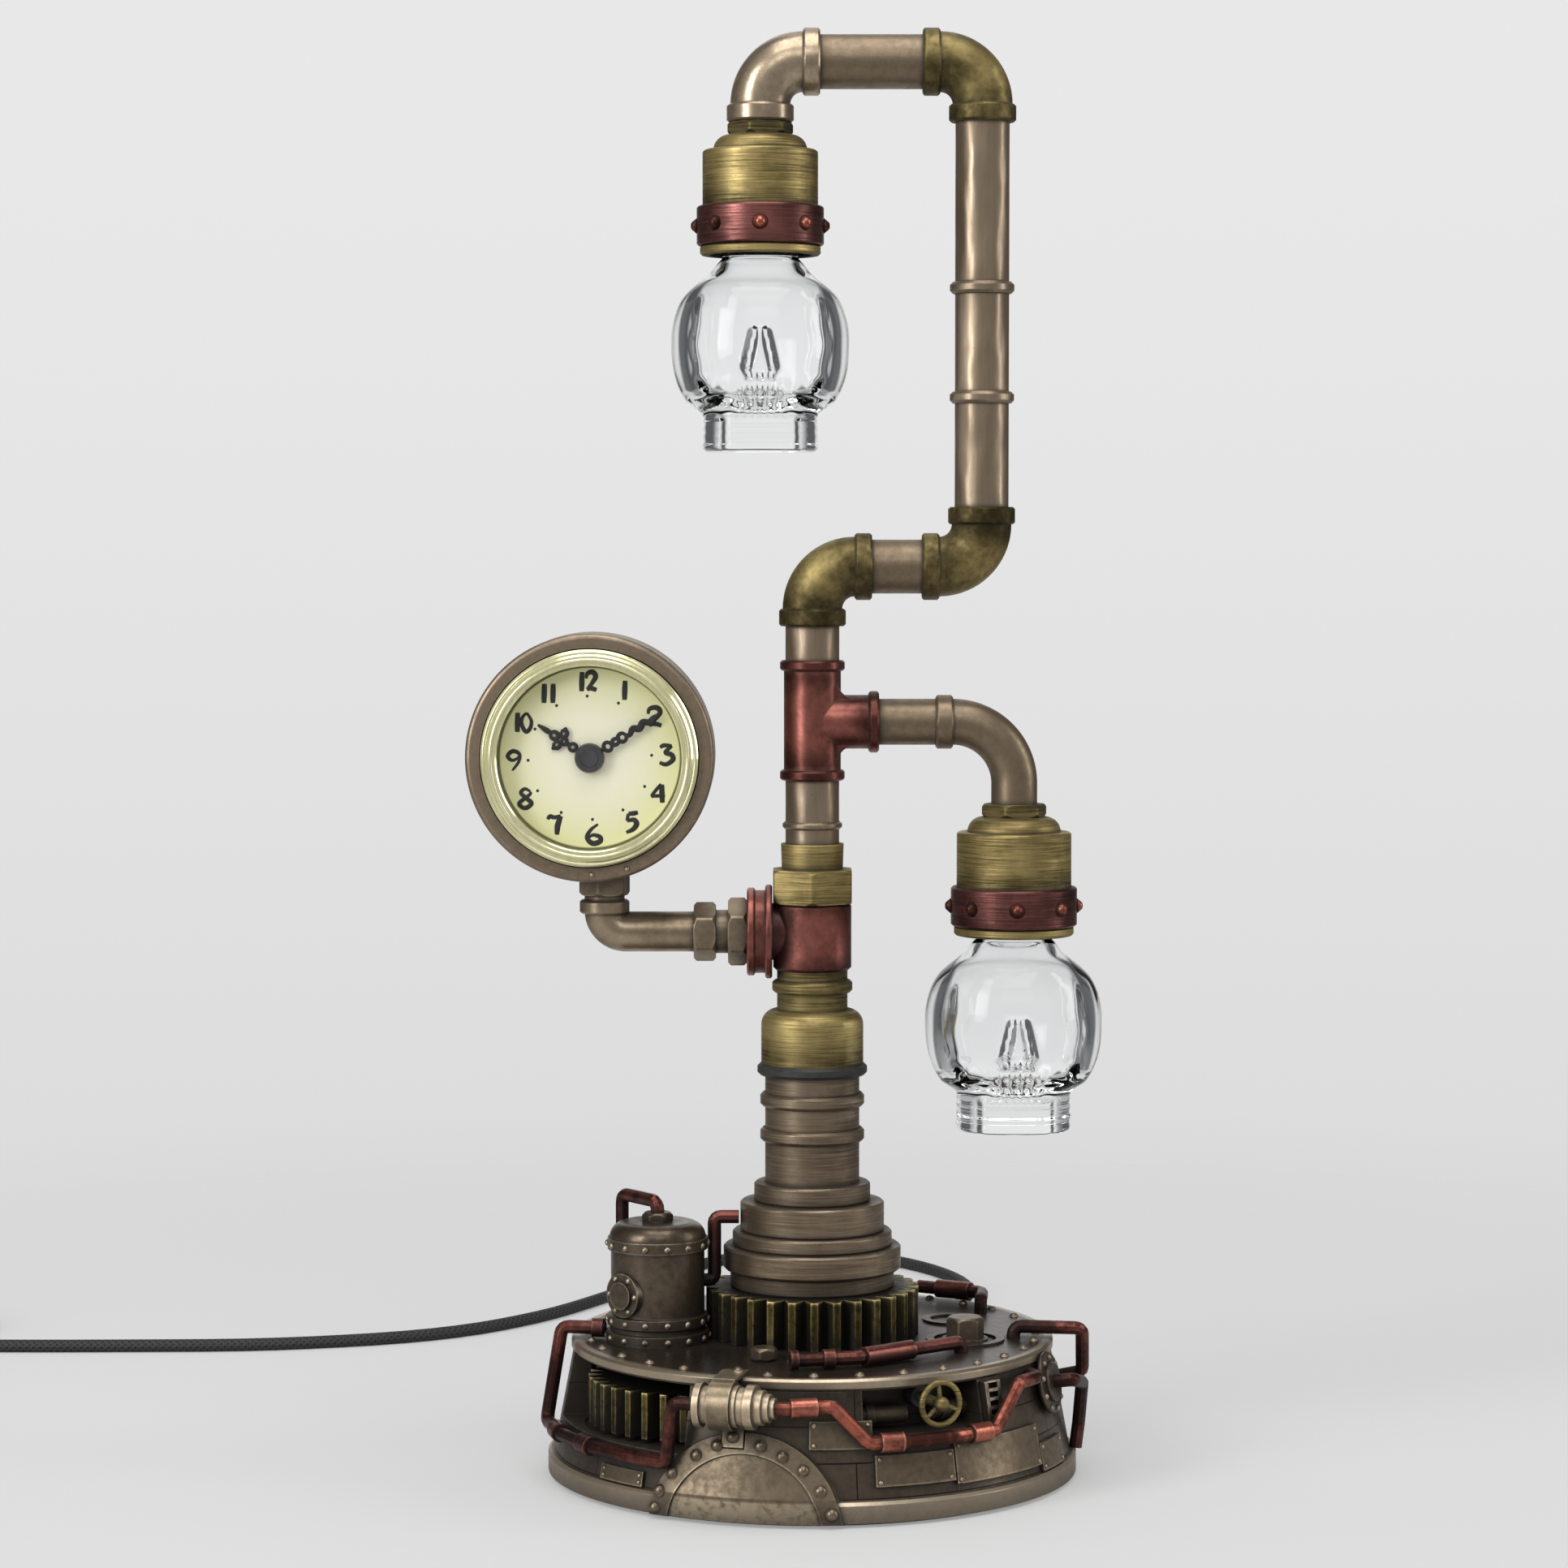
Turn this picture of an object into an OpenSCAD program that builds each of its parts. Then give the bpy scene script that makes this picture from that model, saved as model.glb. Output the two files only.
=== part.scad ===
// Pipe desk lamp with clock: two skull glass shades on a pipe column, a clock on a side arm
// and a riveted boiler-house base. Millimetres, +Z up, front towards -Y, origin under the column.

/* [Base] */
// Height of the deck top above the table
deck_z = 42.5; // [40:0.5:55]
// Thickness of the deck plate
deck_t = 3.6; // [2.5:0.1:5]
// Overhang of the deck plate past the top of the wall
deck_lip = 0.7; // [0.4:0.1:2]
// Radius of the wall where it meets the foot ring
wall_r = 80; // [78:0.5:95]
// Lean of the wall from the foot ring up to the deck
wall_lean = 6; // [2:0.5:8]
// Step of the foot ring past the wall
foot_step = 2; // [1:0.1:4]
// Height of the foot ring
foot_h = 6.3; // [4:0.1:8]
// Thickness of the wall at the back of the valve recess
recess_wall = 6; // [4:0.5:8]
// Depth of the valve recess below the top of the wall's inside face
recess_depth = 10; // [7:0.5:13]
// Thickness of the felt pad
pad_t = 1.2; // [0.8:0.1:2]
// Thickness of the bottom cover
cover_t = 3; // [2:0.1:4]
// Thickness of the steel ballast plate
ballast_t = 6; // [3:0.5:7]
// Thickness of the sheet panels on the wall
panel_t = 1.2; // [0.6:0.1:2]
// Height of the arched plate on the front of the wall
arch_h = 25.8; // [20:0.2:28]
// Half the width of the arched plate at the foot
arch_w = 29.5; // [24:0.5:30]

/* [Gears] */
// Tip radius of the gear round the column
top_gear_r = 33; // [30:0.5:36]
// Number of teeth of the gear round the column
top_gear_teeth = 30; // [24:1:40]
// Height of the gear round the column
top_gear_h = 15; // [10:0.5:20]
// Tip radius of the gear in the wall's window
side_gear_r = 36; // [30:0.5:37]
// Number of teeth of the gear in the wall's window
side_gear_teeth = 36; // [24:1:48]
// Height of the gear in the wall's window
side_gear_h = 14; // [8:0.5:15]
// Depth of the teeth of both gears
tooth_depth = 4.4; // [2:0.1:6]

/* [Boiler and small pipes] */
// Radius of the boiler's body
boiler_r = 14.4; // [12:0.2:15]
// Height of the boiler's body up to its lid
boiler_h = 28.5; // [24:0.5:40]
// Radius of the thin copper pipes
thin_r = 2.1; // [1.4:0.1:2.4]
// Radius of the canister on the front of the wall
can_r = 6.2; // [5:0.1:6.6]
// Length of the canister
can_l = 24; // [20:0.5:30]
// Radius of the hand wheel
wheel_r = 7.2; // [6:0.1:8]
// Radius of the hand wheel's spindle
spindle_r = 1.5; // [1:0.1:2]

/* [Column] */
// Radius of the column tube
column_r = 14.6; // [13:0.1:16]
// Length of the column tube that shows
column_l = 33.4; // [25:0.1:60]
// Radius of the black seal ring
seal_r = 17; // [16.6:0.1:19]
// Height of the domed coupling
bell_h = 16.9; // [12:0.1:22]
// Radius of the lower tee's body
low_tee_r = 12.1; // [11.5:0.1:13]
// Height of the lower tee's body
low_tee_h = 20.8; // [20:0.1:26]
// Width of the brass nut across its flats
nut_w = 24.2; // [23:0.1:26]
// Radius of the pipes
pipe_r = 8.3; // [7.6:0.1:8.6]
// Wall of the pipes
pipe_wall = 2; // [1.5:0.1:3]
// Length of pipe that shows between the nut's collar and the upper tee
low_nipple_l = 19.6; // [10:0.1:40]
// Length of pipe that shows between the upper tee and the first elbow
high_nipple_l = 10.5; // [5:0.1:30]
// Height of the upper tee
high_tee_h = 37; // [34:0.5:44]
// Sideways step of the column at the two middle elbows
offset_x = 52; // [44:0.5:70]
// Length of riser pipe that shows
riser_l = 117.5; // [90:0.5:160]
// Distance of the upper lamp from the column's axis, to the left
upper_x = 16; // [10:0.5:30]
// Distance from an elbow's corner to its end faces
elbow_reach = 18.3; // [17:0.1:22]
// Bend radius of the elbows
elbow_bend = 13; // [11:0.1:14]
// Length of branch pipe that shows
branch_l = 17.5; // [10:0.1:40]
// Radius of the branch pipe
branch_r = 7.1; // [6:0.1:7.4]
// Bend radius of the branch elbow
branch_bend = 19; // [15:0.5:26]

/* [Lamp heads] */
// Radius of the brass cups
cup_r = 17.7; // [17:0.1:19]
// Height of the brass cups from rim to shoulder
cup_h = 32; // [30:0.5:40]
// Wall of the brass cups
cup_wall = 2; // [1.5:0.1:3]
// Thickness of the copper bands
band_t = 1.8; // [1:0.1:3]
// Height of the copper bands
band_h = 11.9; // [8:0.1:14]
// Outside radius of the glass neck
neck_r = 11.8; // [10:0.1:12.4]
// Length of glass neck inside the cup
neck_l = 11; // [8:0.5:12]
// Widest radius of the glass
globe_r = 27.4; // [24:0.2:30]
// Height of the glass below the cup
globe_h = 60; // [52:0.5:70]
// Wall of the glass
glass_t = 2.6; // [2:0.1:4]

/* [Clock] */
// Radius of the clock drum
drum_r = 38; // [36:0.5:44]
// Depth of the clock drum
drum_d = 32; // [30:0.5:40]
// Radius of the clock insert's bezel
bezel_r = 33.2; // [32:0.1:34.5]
// Radius of the dial that shows
dial_r = 28.2; // [26:0.1:29]
// Height of the clock's centre above the side arm
clock_rise = 54.4; // [52.8:0.2:70]
// Length of arm pipe between the nuts and the elbow's corner
arm_l = 27.6; // [25:0.2:50]
// Radius of the arm pipe
arm_r = 6.2; // [5:0.1:6.4]
// Sideways step from the clock's stem to its centre
clock_step = 3.9; // [0:0.1:6]
// Time on the hands, in minutes after twelve
shown_minutes = 610; // [0:1:719]

/* [Cord] */
// Diameter of the cord
cord_d = 4.5; // [4:0.1:4.6]
// Space from turn to turn of the coiled cord
coil_pitch = 5; // [5:0.1:6]
// Radius of the coil's innermost turn
coil_in_r = 18; // [18:0.5:24]
// Turns of the coil in each of its two layers
layer_turns = 3.1; // [2.1:1:4.1]

/* [Hidden] */
$fn = 64;
// Radial gap of nested pieces that are fixed together
fit = 0.05;
// Radial gap of a turning pin in its bore
run = 0.05;
// Gap of sliding curved faces
slide_gap = 0.4;
// Overshoot of a cut past the face it opens
over = 1;

// Base heights and radii
foot_top = pad_t + foot_h;
deck_under = deck_z - deck_t;
foot_r = wall_r + foot_step;
deck_r = wall_r - wall_lean + deck_lip;
cover_top = pad_t + cover_t;
cavity_r = wall_r - wall_lean - recess_depth - recess_wall;
cover_r = cavity_r + 12;
pad_r = foot_r - 4;
function wall_at(z) = wall_r - wall_lean * (z - foot_top) / (deck_under - foot_top);
// Radius at which a thin pipe lies along the wall, clear of the panels
function hug(z) = wall_at(z) + panel_t + thin_r + 0.9;
// Point at a radius, an azimuth from the front and a height
function polar(r, az, z) = [r * sin(az), -r * cos(az), z];
// Direction along the wall at an azimuth
function along(az) = [cos(az), sin(az), 0];

// Side gear in its window
side_gear_z = deck_under - 5 - side_gear_h;
side_gear_az = -58;
side_gear_at = polar(wall_at(side_gear_z + side_gear_h) - 0.6 - side_gear_r, side_gear_az, 0);
post_r = 5;
post_pin_r = 2.5;
window_az = [-82, -29.5];
window_z = side_gear_z - 1;

// Valve recess and hand wheel
recess_az = [11, 41];
recess_z = deck_under - 13;
recess_r = cavity_r + recess_wall;
wheel_az = 27.5;
wheel_z = deck_under - 4;
wheel_at_r = wall_r + 0.8;
bush_r = 3.2;
switch_size = [14, 7, 12];

// Canister and its strap
can_az = -16;
can_z = deck_under - 3.3;
strap_t = 1;
strap_gap = 0.25;
lean = atan(wall_lean / (deck_under - foot_top));
can_at_r = wall_at(can_z) + (can_r + strap_t + strap_gap) / cos(lean);
tab_az = [can_az - 4.1, can_az + 0.7];

// Hatch on the right of the wall
hatch_az = 69;
hatch_z = deck_under - 6.8;
hatch_r = 9.4;
hatch_boss = 2.6;
hatch_off = deck_r - wall_at(hatch_z + hatch_r) + fit;
// Outward normal of the leaning wall at an azimuth
function wall_normal(az) = polar(cos(lean), az, sin(lean));

// Boiler
boiler_az = -76.5;
boiler_flange = 1.5;
boiler_at = polar(top_gear_r + boiler_r + boiler_flange + 0.1, boiler_az, deck_z);
boiler_top = deck_z + boiler_h;
lid_h = 3.5;
dome_h = 4.8;
boiler_cap_h = 3.4;
boiler_cap_top = boiler_top + lid_h + dome_h + boiler_cap_h - 0.6;

// Column stack, from the deck up
step_r = [25.4, 27.5, 24.7, 22.3, column_r + 3.4];
step_h = [5.5, 7.3, 4.6, 9.1, 5.9];
function total(list, count) = count == 0 ? 0 : list[count - 1] + total(list, count - 1);
step_z = deck_z + top_gear_h;
step_top = step_z + total(step_h, 5);
spigot_r = 15;
socket_l = 4.5;
seal_z = step_top + column_l;
seal_h = 3.5;
bell_z = seal_z + seal_h;
bell_r = 15.8;
neck_h = 12.1;
low_tee_z = bell_z + bell_h + neck_h;
arm_z = low_tee_z + 11.8;
nut_z = low_tee_z + low_tee_h;
nut_h = 10.4;
nut_collar_h = 7.9;
nut_top = nut_z + nut_h + nut_collar_h;
high_tee_z = nut_top + low_nipple_l;
high_tee_top = high_tee_z + high_tee_h;
branch_z = high_tee_z + high_tee_h / 2 - 0.5;
tee_reach = 20.5;
low_elbow_z = high_tee_top + high_nipple_l + elbow_reach;
riser_z = low_elbow_z + elbow_reach;
crown_z = riser_z + riser_l + elbow_reach;
bore_r = pipe_r - pipe_wall;
wire_r = 4;
fitting_r = pipe_r + 0.9;
collar_r = pipe_r + 2;
collar_l = elbow_reach - elbow_bend;

// Branch to the lower lamp
branch_bore = branch_r - pipe_wall;
branch_collar_l = 5.3;
branch_drop = 6.3;
lower_x = tee_reach + branch_l + branch_collar_l + branch_bend;

// Lamp heads, measured up from the rim of the cup
rim_h = 3;
rim_r = cup_r + 0.8;
head_dome_h = 4.6;
hex_h = 4;
hex_w = 18;
head_h = cup_h + head_dome_h + hex_h;
cup_in_r = cup_r - cup_wall;
cup_ceiling = cup_h - 4;
gallery_z = [3, 10];
led_r = 8;
holder_r = 10;
led_z = neck_l + 1.2;
lamp_h = cup_ceiling - led_z;
upper_rim = [-upper_x, 0, crown_z - elbow_reach - head_h];
lower_rim = [lower_x, 0, branch_z - branch_bend - branch_drop - head_h];

// Clock arm, measured left from the column's axis
spool_x = nut_w / 2 + 0.3;
spool_l = 7.8;
big_nut_l = 5.8;
union_l = 3.8;
small_nut_l = 6.8;
arm_x = spool_x + spool_l + big_nut_l + union_l + small_nut_l;
arm_bore = arm_r - pipe_wall;
stem_x = arm_x + arm_l;
stem_bend = arm_r + 0.3;
stem_hex_w = 14.2;
clock_at = [-stem_x - clock_step, 0, arm_z + clock_rise];
drum_front = -drum_d / 2;
drum_back = drum_d / 2;
drum_wall = 3;
insert_r = dial_r + 2.1;
seat_depth = 2.5;
seat_y = drum_front + seat_depth;
dial_y = seat_y + 1.2;
dial_t = 0.6;
bezel_y = drum_front - 3;
lens_t = 1.5;
lens_y = bezel_y + 0.8;
movement_d = 20;
movement_y = dial_y + dial_t;
movement_back = movement_y + movement_d;
knob_drop = 10;
hand_pin_r = 1;
sleeve_r = 2.2;
hand_t = 0.4;
hour_y = dial_y - 1.1;
minute_y = hour_y - 1;
cap_r = 4.5;

// Cord, gland and plug
cord_r = cord_d / 2;
gland_z = 14;
gland_r = 5;
gland_flange_r = 7;
relief_l = 26;
gland_end = wall_at(gland_z) + 2 + relief_l;
coil_at = [-336, 220];
coil_out_r = coil_in_r + coil_pitch * layer_turns;
coil_start = [coil_at.x + cord_d, coil_at.y - coil_out_r, cord_r];
tail_l = 48;
plug_l = 36;
plug_w = 25;
pin_l = 19;
pin_r = 2;
// Points of the cord on the table, from the gland to the coil
cord_route = [
    [0, gland_end, gland_z], [0, gland_end + 6, gland_z], [0, gland_end + 14, gland_z - 1],
    [8, 160, cord_r + 1],
    [28, 210, cord_r], [52, 255, cord_r], [62, 300, cord_r], [50, 342, cord_r], [22, 375, cord_r],
    [-14, 380, cord_r], [-45, 350, cord_r], [-72, 292, cord_r], [-100, 242, cord_r],
    [-136, 208, cord_r], [-190, 190, cord_r], [-250, coil_start.y, cord_r],
    [-300, coil_start.y, cord_r], coil_start
];

// Helpers: frames, rods, bent pipes and swept tubes

function unit(v) = v / norm(v);

// Frame on the wall: X along the wall to the right, Y up, Z outwards
module on_wall(az, r, z) {
    rotate([0, 0, az]) translate([0, -r, z]) rotate([90, 0, 0]) children();
}

// Sector of a turned profile between two azimuths
module sector(az) {
    rotate([0, 0, az[0] - 90]) rotate_extrude(angle = az[1] - az[0]) children();
}

module rod(p, q, r) {
    d = q - p;
    translate(p) rotate([0, acos(d.z / norm(d)), atan2(d.y, d.x)]) cylinder(h = norm(d), r = r);
}

// Quarter or other part of a ring that turns a pipe from direction u to direction v
module bend_arc(corner, u, v, r, bend) {
    turn = acos(u * v);
    inward = unit(v - (v * u) * u);
    centre = corner - bend * tan(turn / 2) * u + bend * inward;
    side = cross(-inward, u);
    multmatrix([
        [-inward.x, u.x, side.x, centre.x],
        [-inward.y, u.y, side.y, centre.y],
        [-inward.z, u.z, side.z, centre.z],
        [0, 0, 0, 1]
    ]) rotate_extrude(angle = turn) translate([bend, 0]) circle(r);
}

// Pipe along straight runs, with a round bend at each corner
module pipe_run(points, r, bend) {
    last = len(points) - 1;
    dirs = [for (i = [0:last - 1]) unit(points[i + 1] - points[i])];
    cuts = [for (i = [0:last]) i == 0 || i == last ? 0 : bend * tan(acos(dirs[i - 1] * dirs[i]) / 2)];
    for (i = [0:last - 1]) rod(points[i] + cuts[i] * dirs[i], points[i + 1] - cuts[i + 1] * dirs[i], r);
    for (i = [1:last - 1]) bend_arc(points[i], dirs[i - 1], dirs[i], r, bend);
}

// Disc with chamfered edges
module disc(r, h, edge = 0.6) {
    rotate_extrude() polygon([[0, 0], [r - edge, 0], [r, edge], [r, h - edge], [r - edge, h], [0, h]]);
}

// Six-sided nut with chamfered corners, width across the flats
module hex(w, h) {
    intersection() {
        cylinder(h = h, d = w / cos(30), $fn = 6);
        disc(w / cos(30) / 2 - 0.2, h, 0.9);
    }
}

module tube(r_out, r_in, h) {
    difference() {
        cylinder(h = h, r = r_out);
        translate([0, 0, -over]) cylinder(h = h + 2 * over, r = r_in);
    }
}

// Toothed wheel with thin teeth and V-shaped grooves
module toothed(r, teeth, depth, h, phase) {
    pitch = 360 / teeth;
    tip = 0.16 * pitch;
    linear_extrude(h) polygon([
        for (i = [0:teeth - 1], k = [[r - depth, -0.5], [r, -tip / pitch], [r, tip / pitch]])
        k[0] * [sin((i + k[1]) * pitch + phase), -cos((i + k[1]) * pitch + phase)]
    ]);
}

// Outline of the finished base, grown by a gap
module envelope(gap) {
    rotate_extrude() polygon([
        [0, pad_t - gap], [foot_r + gap, pad_t - gap], [foot_r + gap, foot_top + gap],
        [wall_at(foot_top + gap) + gap, foot_top + gap], [wall_at(deck_under - gap) + gap, deck_under - gap],
        [deck_r + gap, deck_under - gap], [deck_r + gap, deck_z + gap], [0, deck_z + gap]
    ]);
}

// Sheet panel on the wall between two azimuths and two heights
module wall_panel(az, z, t) {
    sector(az) polygon([
        [wall_at(z[0]) + fit, z[0]], [wall_at(z[0]) + t, z[0]],
        [wall_at(z[1]) + t, z[1]], [wall_at(z[1]) + fit, z[1]]
    ]);
}

// Smooth curve through hand-picked points
function spline(p, i, t) =
    let (a = p[max(i - 1, 0)], b = p[i], c = p[i + 1], d = p[min(i + 2, len(p) - 1)])
    0.5 * (2 * b + (c - a) * t + (2 * a - 5 * b + 4 * c - d) * t * t + (3 * b - a - 3 * c + d) * t * t * t);
function smooth(p, steps) =
    [for (i = [0:len(p) - 2], k = [0:steps - 1]) spline(p, i, k / steps), p[len(p) - 1]];

// Path with a round bend at each corner of a list of points
function corner_arc(a, b, c, bend) =
    let (
        u = unit(b - a), v = unit(c - b), turn = acos(u * v), inward = unit(v - (v * u) * u),
        centre = b - bend * tan(turn / 2) * u + bend * inward, steps = ceil(turn / 24)
    )
    [for (k = [0:steps]) centre + bend * (sin(k * turn / steps) * u - cos(k * turn / steps) * inward)];
function rounded(p, bend) = [
    p[0],
    for (i = [1:len(p) - 2]) each corner_arc(p[i - 1], p[i], p[i + 1], bend),
    p[len(p) - 1]
];

// Directions along a path, and directions across it that turn as little as they can
function headings(path) =
    let (last = len(path) - 1)
    [for (i = [0:last]) unit(path[min(i + 1, last)] - path[max(i - 1, 0)])];
function flatten_on(v, t) = unit(v - (v * t) * t);
function sideways(t) = [
    for (
        i = 0, a = flatten_on(abs(t[0].z) < 0.9 ? [0, 0, 1] : [1, 0, 0], t[0]);
        i < len(t);
        i = i + 1, a = i < len(t) ? flatten_on(a, t[i]) : a
    ) a
];

// Closed tube of flat triangles along a path
module swept_tube(path, r, sides) {
    last = len(path) - 1;
    ahead = headings(path);
    across = sideways(ahead);
    points = [
        for (i = [0:last], k = [0:sides - 1])
        path[i] + r * (cos(k * 360 / sides) * across[i] + sin(k * 360 / sides) * cross(ahead[i], across[i]))
    ];
    walls = [
        for (i = [0:last - 1], k = [0:sides - 1])
        let (a = i * sides + k, b = i * sides + (k + 1) % sides)
        each [[a, a + sides, b + sides], [a, b + sides, b]]
    ];
    ends = [
        for (k = [1:sides - 2])
        each [[0, k, k + 1], [last * sides, last * sides + k + 1, last * sides + k]]
    ];
    polyhedron(points, concat(walls, ends), convexity = 10);
}

// Thin copper pipe with round bends, and a sleeve that slips over a straight run of it
module thin_pipe(points, bend) {
    swept_tube(rounded(points, bend), thin_r, 10);
}
module sleeve(p, q) {
    d = q - p;
    translate(p) rotate([0, acos(d.z / norm(d)), atan2(d.y, d.x)]) tube(thin_r + 0.8, thin_r + fit, norm(d));
}

// Base

module felt_pad() {
    color("dimgray") cylinder(h = pad_t, r = pad_r);
}

module bottom_cover() {
    color("#3a3530") {
        translate([0, 0, pad_t]) cylinder(h = cover_t, r = cover_r);
        translate([side_gear_at.x, side_gear_at.y, cover_top]) {
            cylinder(h = side_gear_z - cover_top, r = post_r);
            cylinder(h = side_gear_z - cover_top + side_gear_h + 1.5, r = post_pin_r);
        }
    }
}

module ballast_plate() {
    color("slategray") difference() {
        translate([0, 0, cover_top]) cylinder(h = ballast_t, r = cavity_r - 8);
        translate([side_gear_at.x, side_gear_at.y, 0]) cylinder(h = deck_z, r = post_r + 1);
    }
}

module led_driver() {
    color("black") translate([5, 6, cover_top + ballast_t]) cube([34, 30, 14]);
}

module base_shell() {
    color("#6e6049") difference() {
        rotate_extrude() polygon([
            [cavity_r, cover_top], [cover_r + fit, cover_top], [cover_r + fit, pad_t], [foot_r, pad_t],
            [foot_r, foot_top - 1], [foot_r - 1, foot_top], [wall_r, foot_top],
            [wall_r - wall_lean, deck_under], [cavity_r, deck_under]
        ]);
        sector(window_az) translate([cavity_r - over, window_z]) square([40, deck_z]);
        translate([side_gear_at.x, side_gear_at.y, window_z - 0.4])
            cylinder(h = deck_z, r = side_gear_r + 1.2);
        sector(recess_az) translate([recess_r, recess_z]) square([40, deck_z]);
        on_wall(wheel_az, cavity_r - over, wheel_z) cylinder(h = 20, r = bush_r + fit);
        translate([0, cavity_r - over, gland_z]) rotate([-90, 0, 0]) cylinder(h = 40, r = gland_r + fit);
    }
}

module deck_plate() {
    ring_h = 0.8;
    color("#4d4238") difference() {
        union() {
            translate([0, 0, deck_under]) disc(deck_r, deck_t, 0.8);
            translate([44, 20, deck_z]) tube(9, 6.6, ring_h);
            translate([47, -13, deck_z]) tube(12, 9.6, ring_h);
        }
        translate([0, 0, deck_under - over]) cylinder(h = deck_t + 2 * over, r = wire_r);
    }
}

module arch_plate() {
    az = can_az + 1;
    arch_border = 6;
    arch_floor = panel_t - 0.6;
    arch_bow = (arch_w * arch_w + arch_h * arch_h) / (2 * arch_h);
    top = pad_t + arch_h;
    color("#5f5344") difference() {
        intersection() {
            on_wall(az, cavity_r, top - arch_bow) cylinder(h = 40, r = arch_bow);
            sector([az - 24, az + 24]) polygon([
                [foot_r + fit, pad_t], [foot_r + panel_t, pad_t], [foot_r + panel_t, foot_top + 1],
                [wall_at(top) + panel_t, top], [wall_at(top) + fit, top],
                [wall_at(foot_top + fit) + fit, foot_top + fit], [foot_r + fit, foot_top + fit]
            ]);
        }
        intersection() {
            on_wall(az, cavity_r, top - arch_bow) cylinder(h = 40, r = arch_bow - arch_border);
            sector([az - 25, az + 25]) polygon([
                [foot_r + arch_floor, pad_t - over], [foot_r + 5, pad_t - over], [foot_r + 5, top],
                [wall_at(top) + arch_floor, top], [foot_r + arch_floor, foot_top + 1]
            ]);
        }
        sector([tab_az[0] - 0.3, tab_az[1] + 0.3]) translate([cavity_r, can_z - 13.4]) square([40, 20]);
    }
}

module wall_panels() {
    color("#756548") {
        wall_panel([-1, 12.8], [foot_top + 15, foot_top + 23], panel_t);
        wall_panel([13.2, 31.6], [foot_top + 4, foot_top + 13], panel_t);
        wall_panel([32, 59], [foot_top + 2.8, foot_top + 15], panel_t);
        wall_panel([59.4, 71.5], [foot_top + 0.6, foot_top + 8.8], panel_t);
        wall_panel([-52, -39], [foot_top + 0.6, foot_top + 5], panel_t);
    }
}

module side_gear() {
    color("#8a7428") translate([side_gear_at.x, side_gear_at.y, side_gear_z]) difference() {
        toothed(side_gear_r, side_gear_teeth, tooth_depth, side_gear_h, 0);
        translate([0, 0, -over]) cylinder(h = side_gear_h + 2 * over, r = post_pin_r + fit);
    }
}

module top_gear() {
    color("#8a7428") translate([0, 0, deck_z]) difference() {
        toothed(top_gear_r, top_gear_teeth, tooth_depth, top_gear_h, 0.8);
        translate([0, 0, -over]) cylinder(h = top_gear_h + 2 * over, r = spigot_r + fit);
    }
}

module canister() {
    half = can_l / 2;
    lip = can_r + 0.4;
    color("#8d7f62") on_wall(can_az, can_at_r, can_z) rotate([0, 90, 0]) rotate_extrude() polygon([
        [0, -half], [lip, -half], [lip, 2 - half], [can_r - 0.6, 2 - half], [can_r - 0.6, 4 - half],
        [can_r, 4 - half], [can_r, half - 11], [can_r - 0.6, half - 11], [can_r - 0.6, half - 8.5],
        [lip, half - 8.5], [lip, half - 6], [can_r - 1, half - 6], [can_r - 1, half - 3.5],
        [can_r - 2, half - 3.5], [can_r - 2, half - 1.5],
        [thin_r + 1, half - 1.5], [thin_r + 1, half], [0, half]
    ]);
}

module canister_strap() {
    strap_r = can_r + strap_t;
    strap_w = 7;
    tab_l = 7;
    shelf = [can_z - strap_r + 0.1, can_z - can_r - 0.1];
    color("#8d7f62") {
        on_wall(can_az, can_at_r, can_z) {
            translate([-strap_w - 0.5, 0, 0]) rotate([0, 90, 0]) tube(strap_r, can_r + fit, strap_w);
            translate([-strap_w - 0.5, deck_z - can_z, deck_r - can_at_r - tab_l])
                cube([strap_w, strap_r - deck_z + can_z + 0.8, can_at_r - deck_r + tab_l]);
        }
        wall_panel(tab_az, [can_z - 13, shelf[1]], panel_t + 0.6);
        sector(tab_az) polygon([
            [wall_at(shelf[0]) + fit, shelf[0]], [can_at_r - 3, shelf[0]],
            [can_at_r - 3, shelf[1]], [wall_at(shelf[1]) + fit, shelf[1]]
        ]);
    }
}

can_end = can_l / 2;
can_centre = polar(can_at_r, can_az, can_z);

module front_pipe() {
    low_z = foot_top + 17.2;
    high_z = deck_under - thin_r;
    start = can_centre + can_end * along(can_az);
    knee = start + 2.2 * along(can_az);
    turn = polar(hug(can_z) + 1.2, 4, can_z);
    low = [for (az = [11.5, 20, 31, 42]) polar(hug(low_z), az, low_z)];
    high = [for (az = [51, 58.5]) polar(hug(high_z) + 0.6, az, high_z)];
    first = unit(turn - knee);
    second = unit(low[1] - low[0]);
    third = unit(low[3] - low[2]);
    color("#8e3f2f") {
        thin_pipe(concat([start, knee, turn], low, high, [polar(deck_r + 0.7, 60.5, high_z)]), 3);
        sleeve(knee + 2 * first, knee + 10 * first);
        sleeve(low[0] + 3.4 * second, low[0] + 10.5 * second);
        sleeve(low[3] - 9.6 * third, low[3] - 2.6 * third);
    }
}

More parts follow.
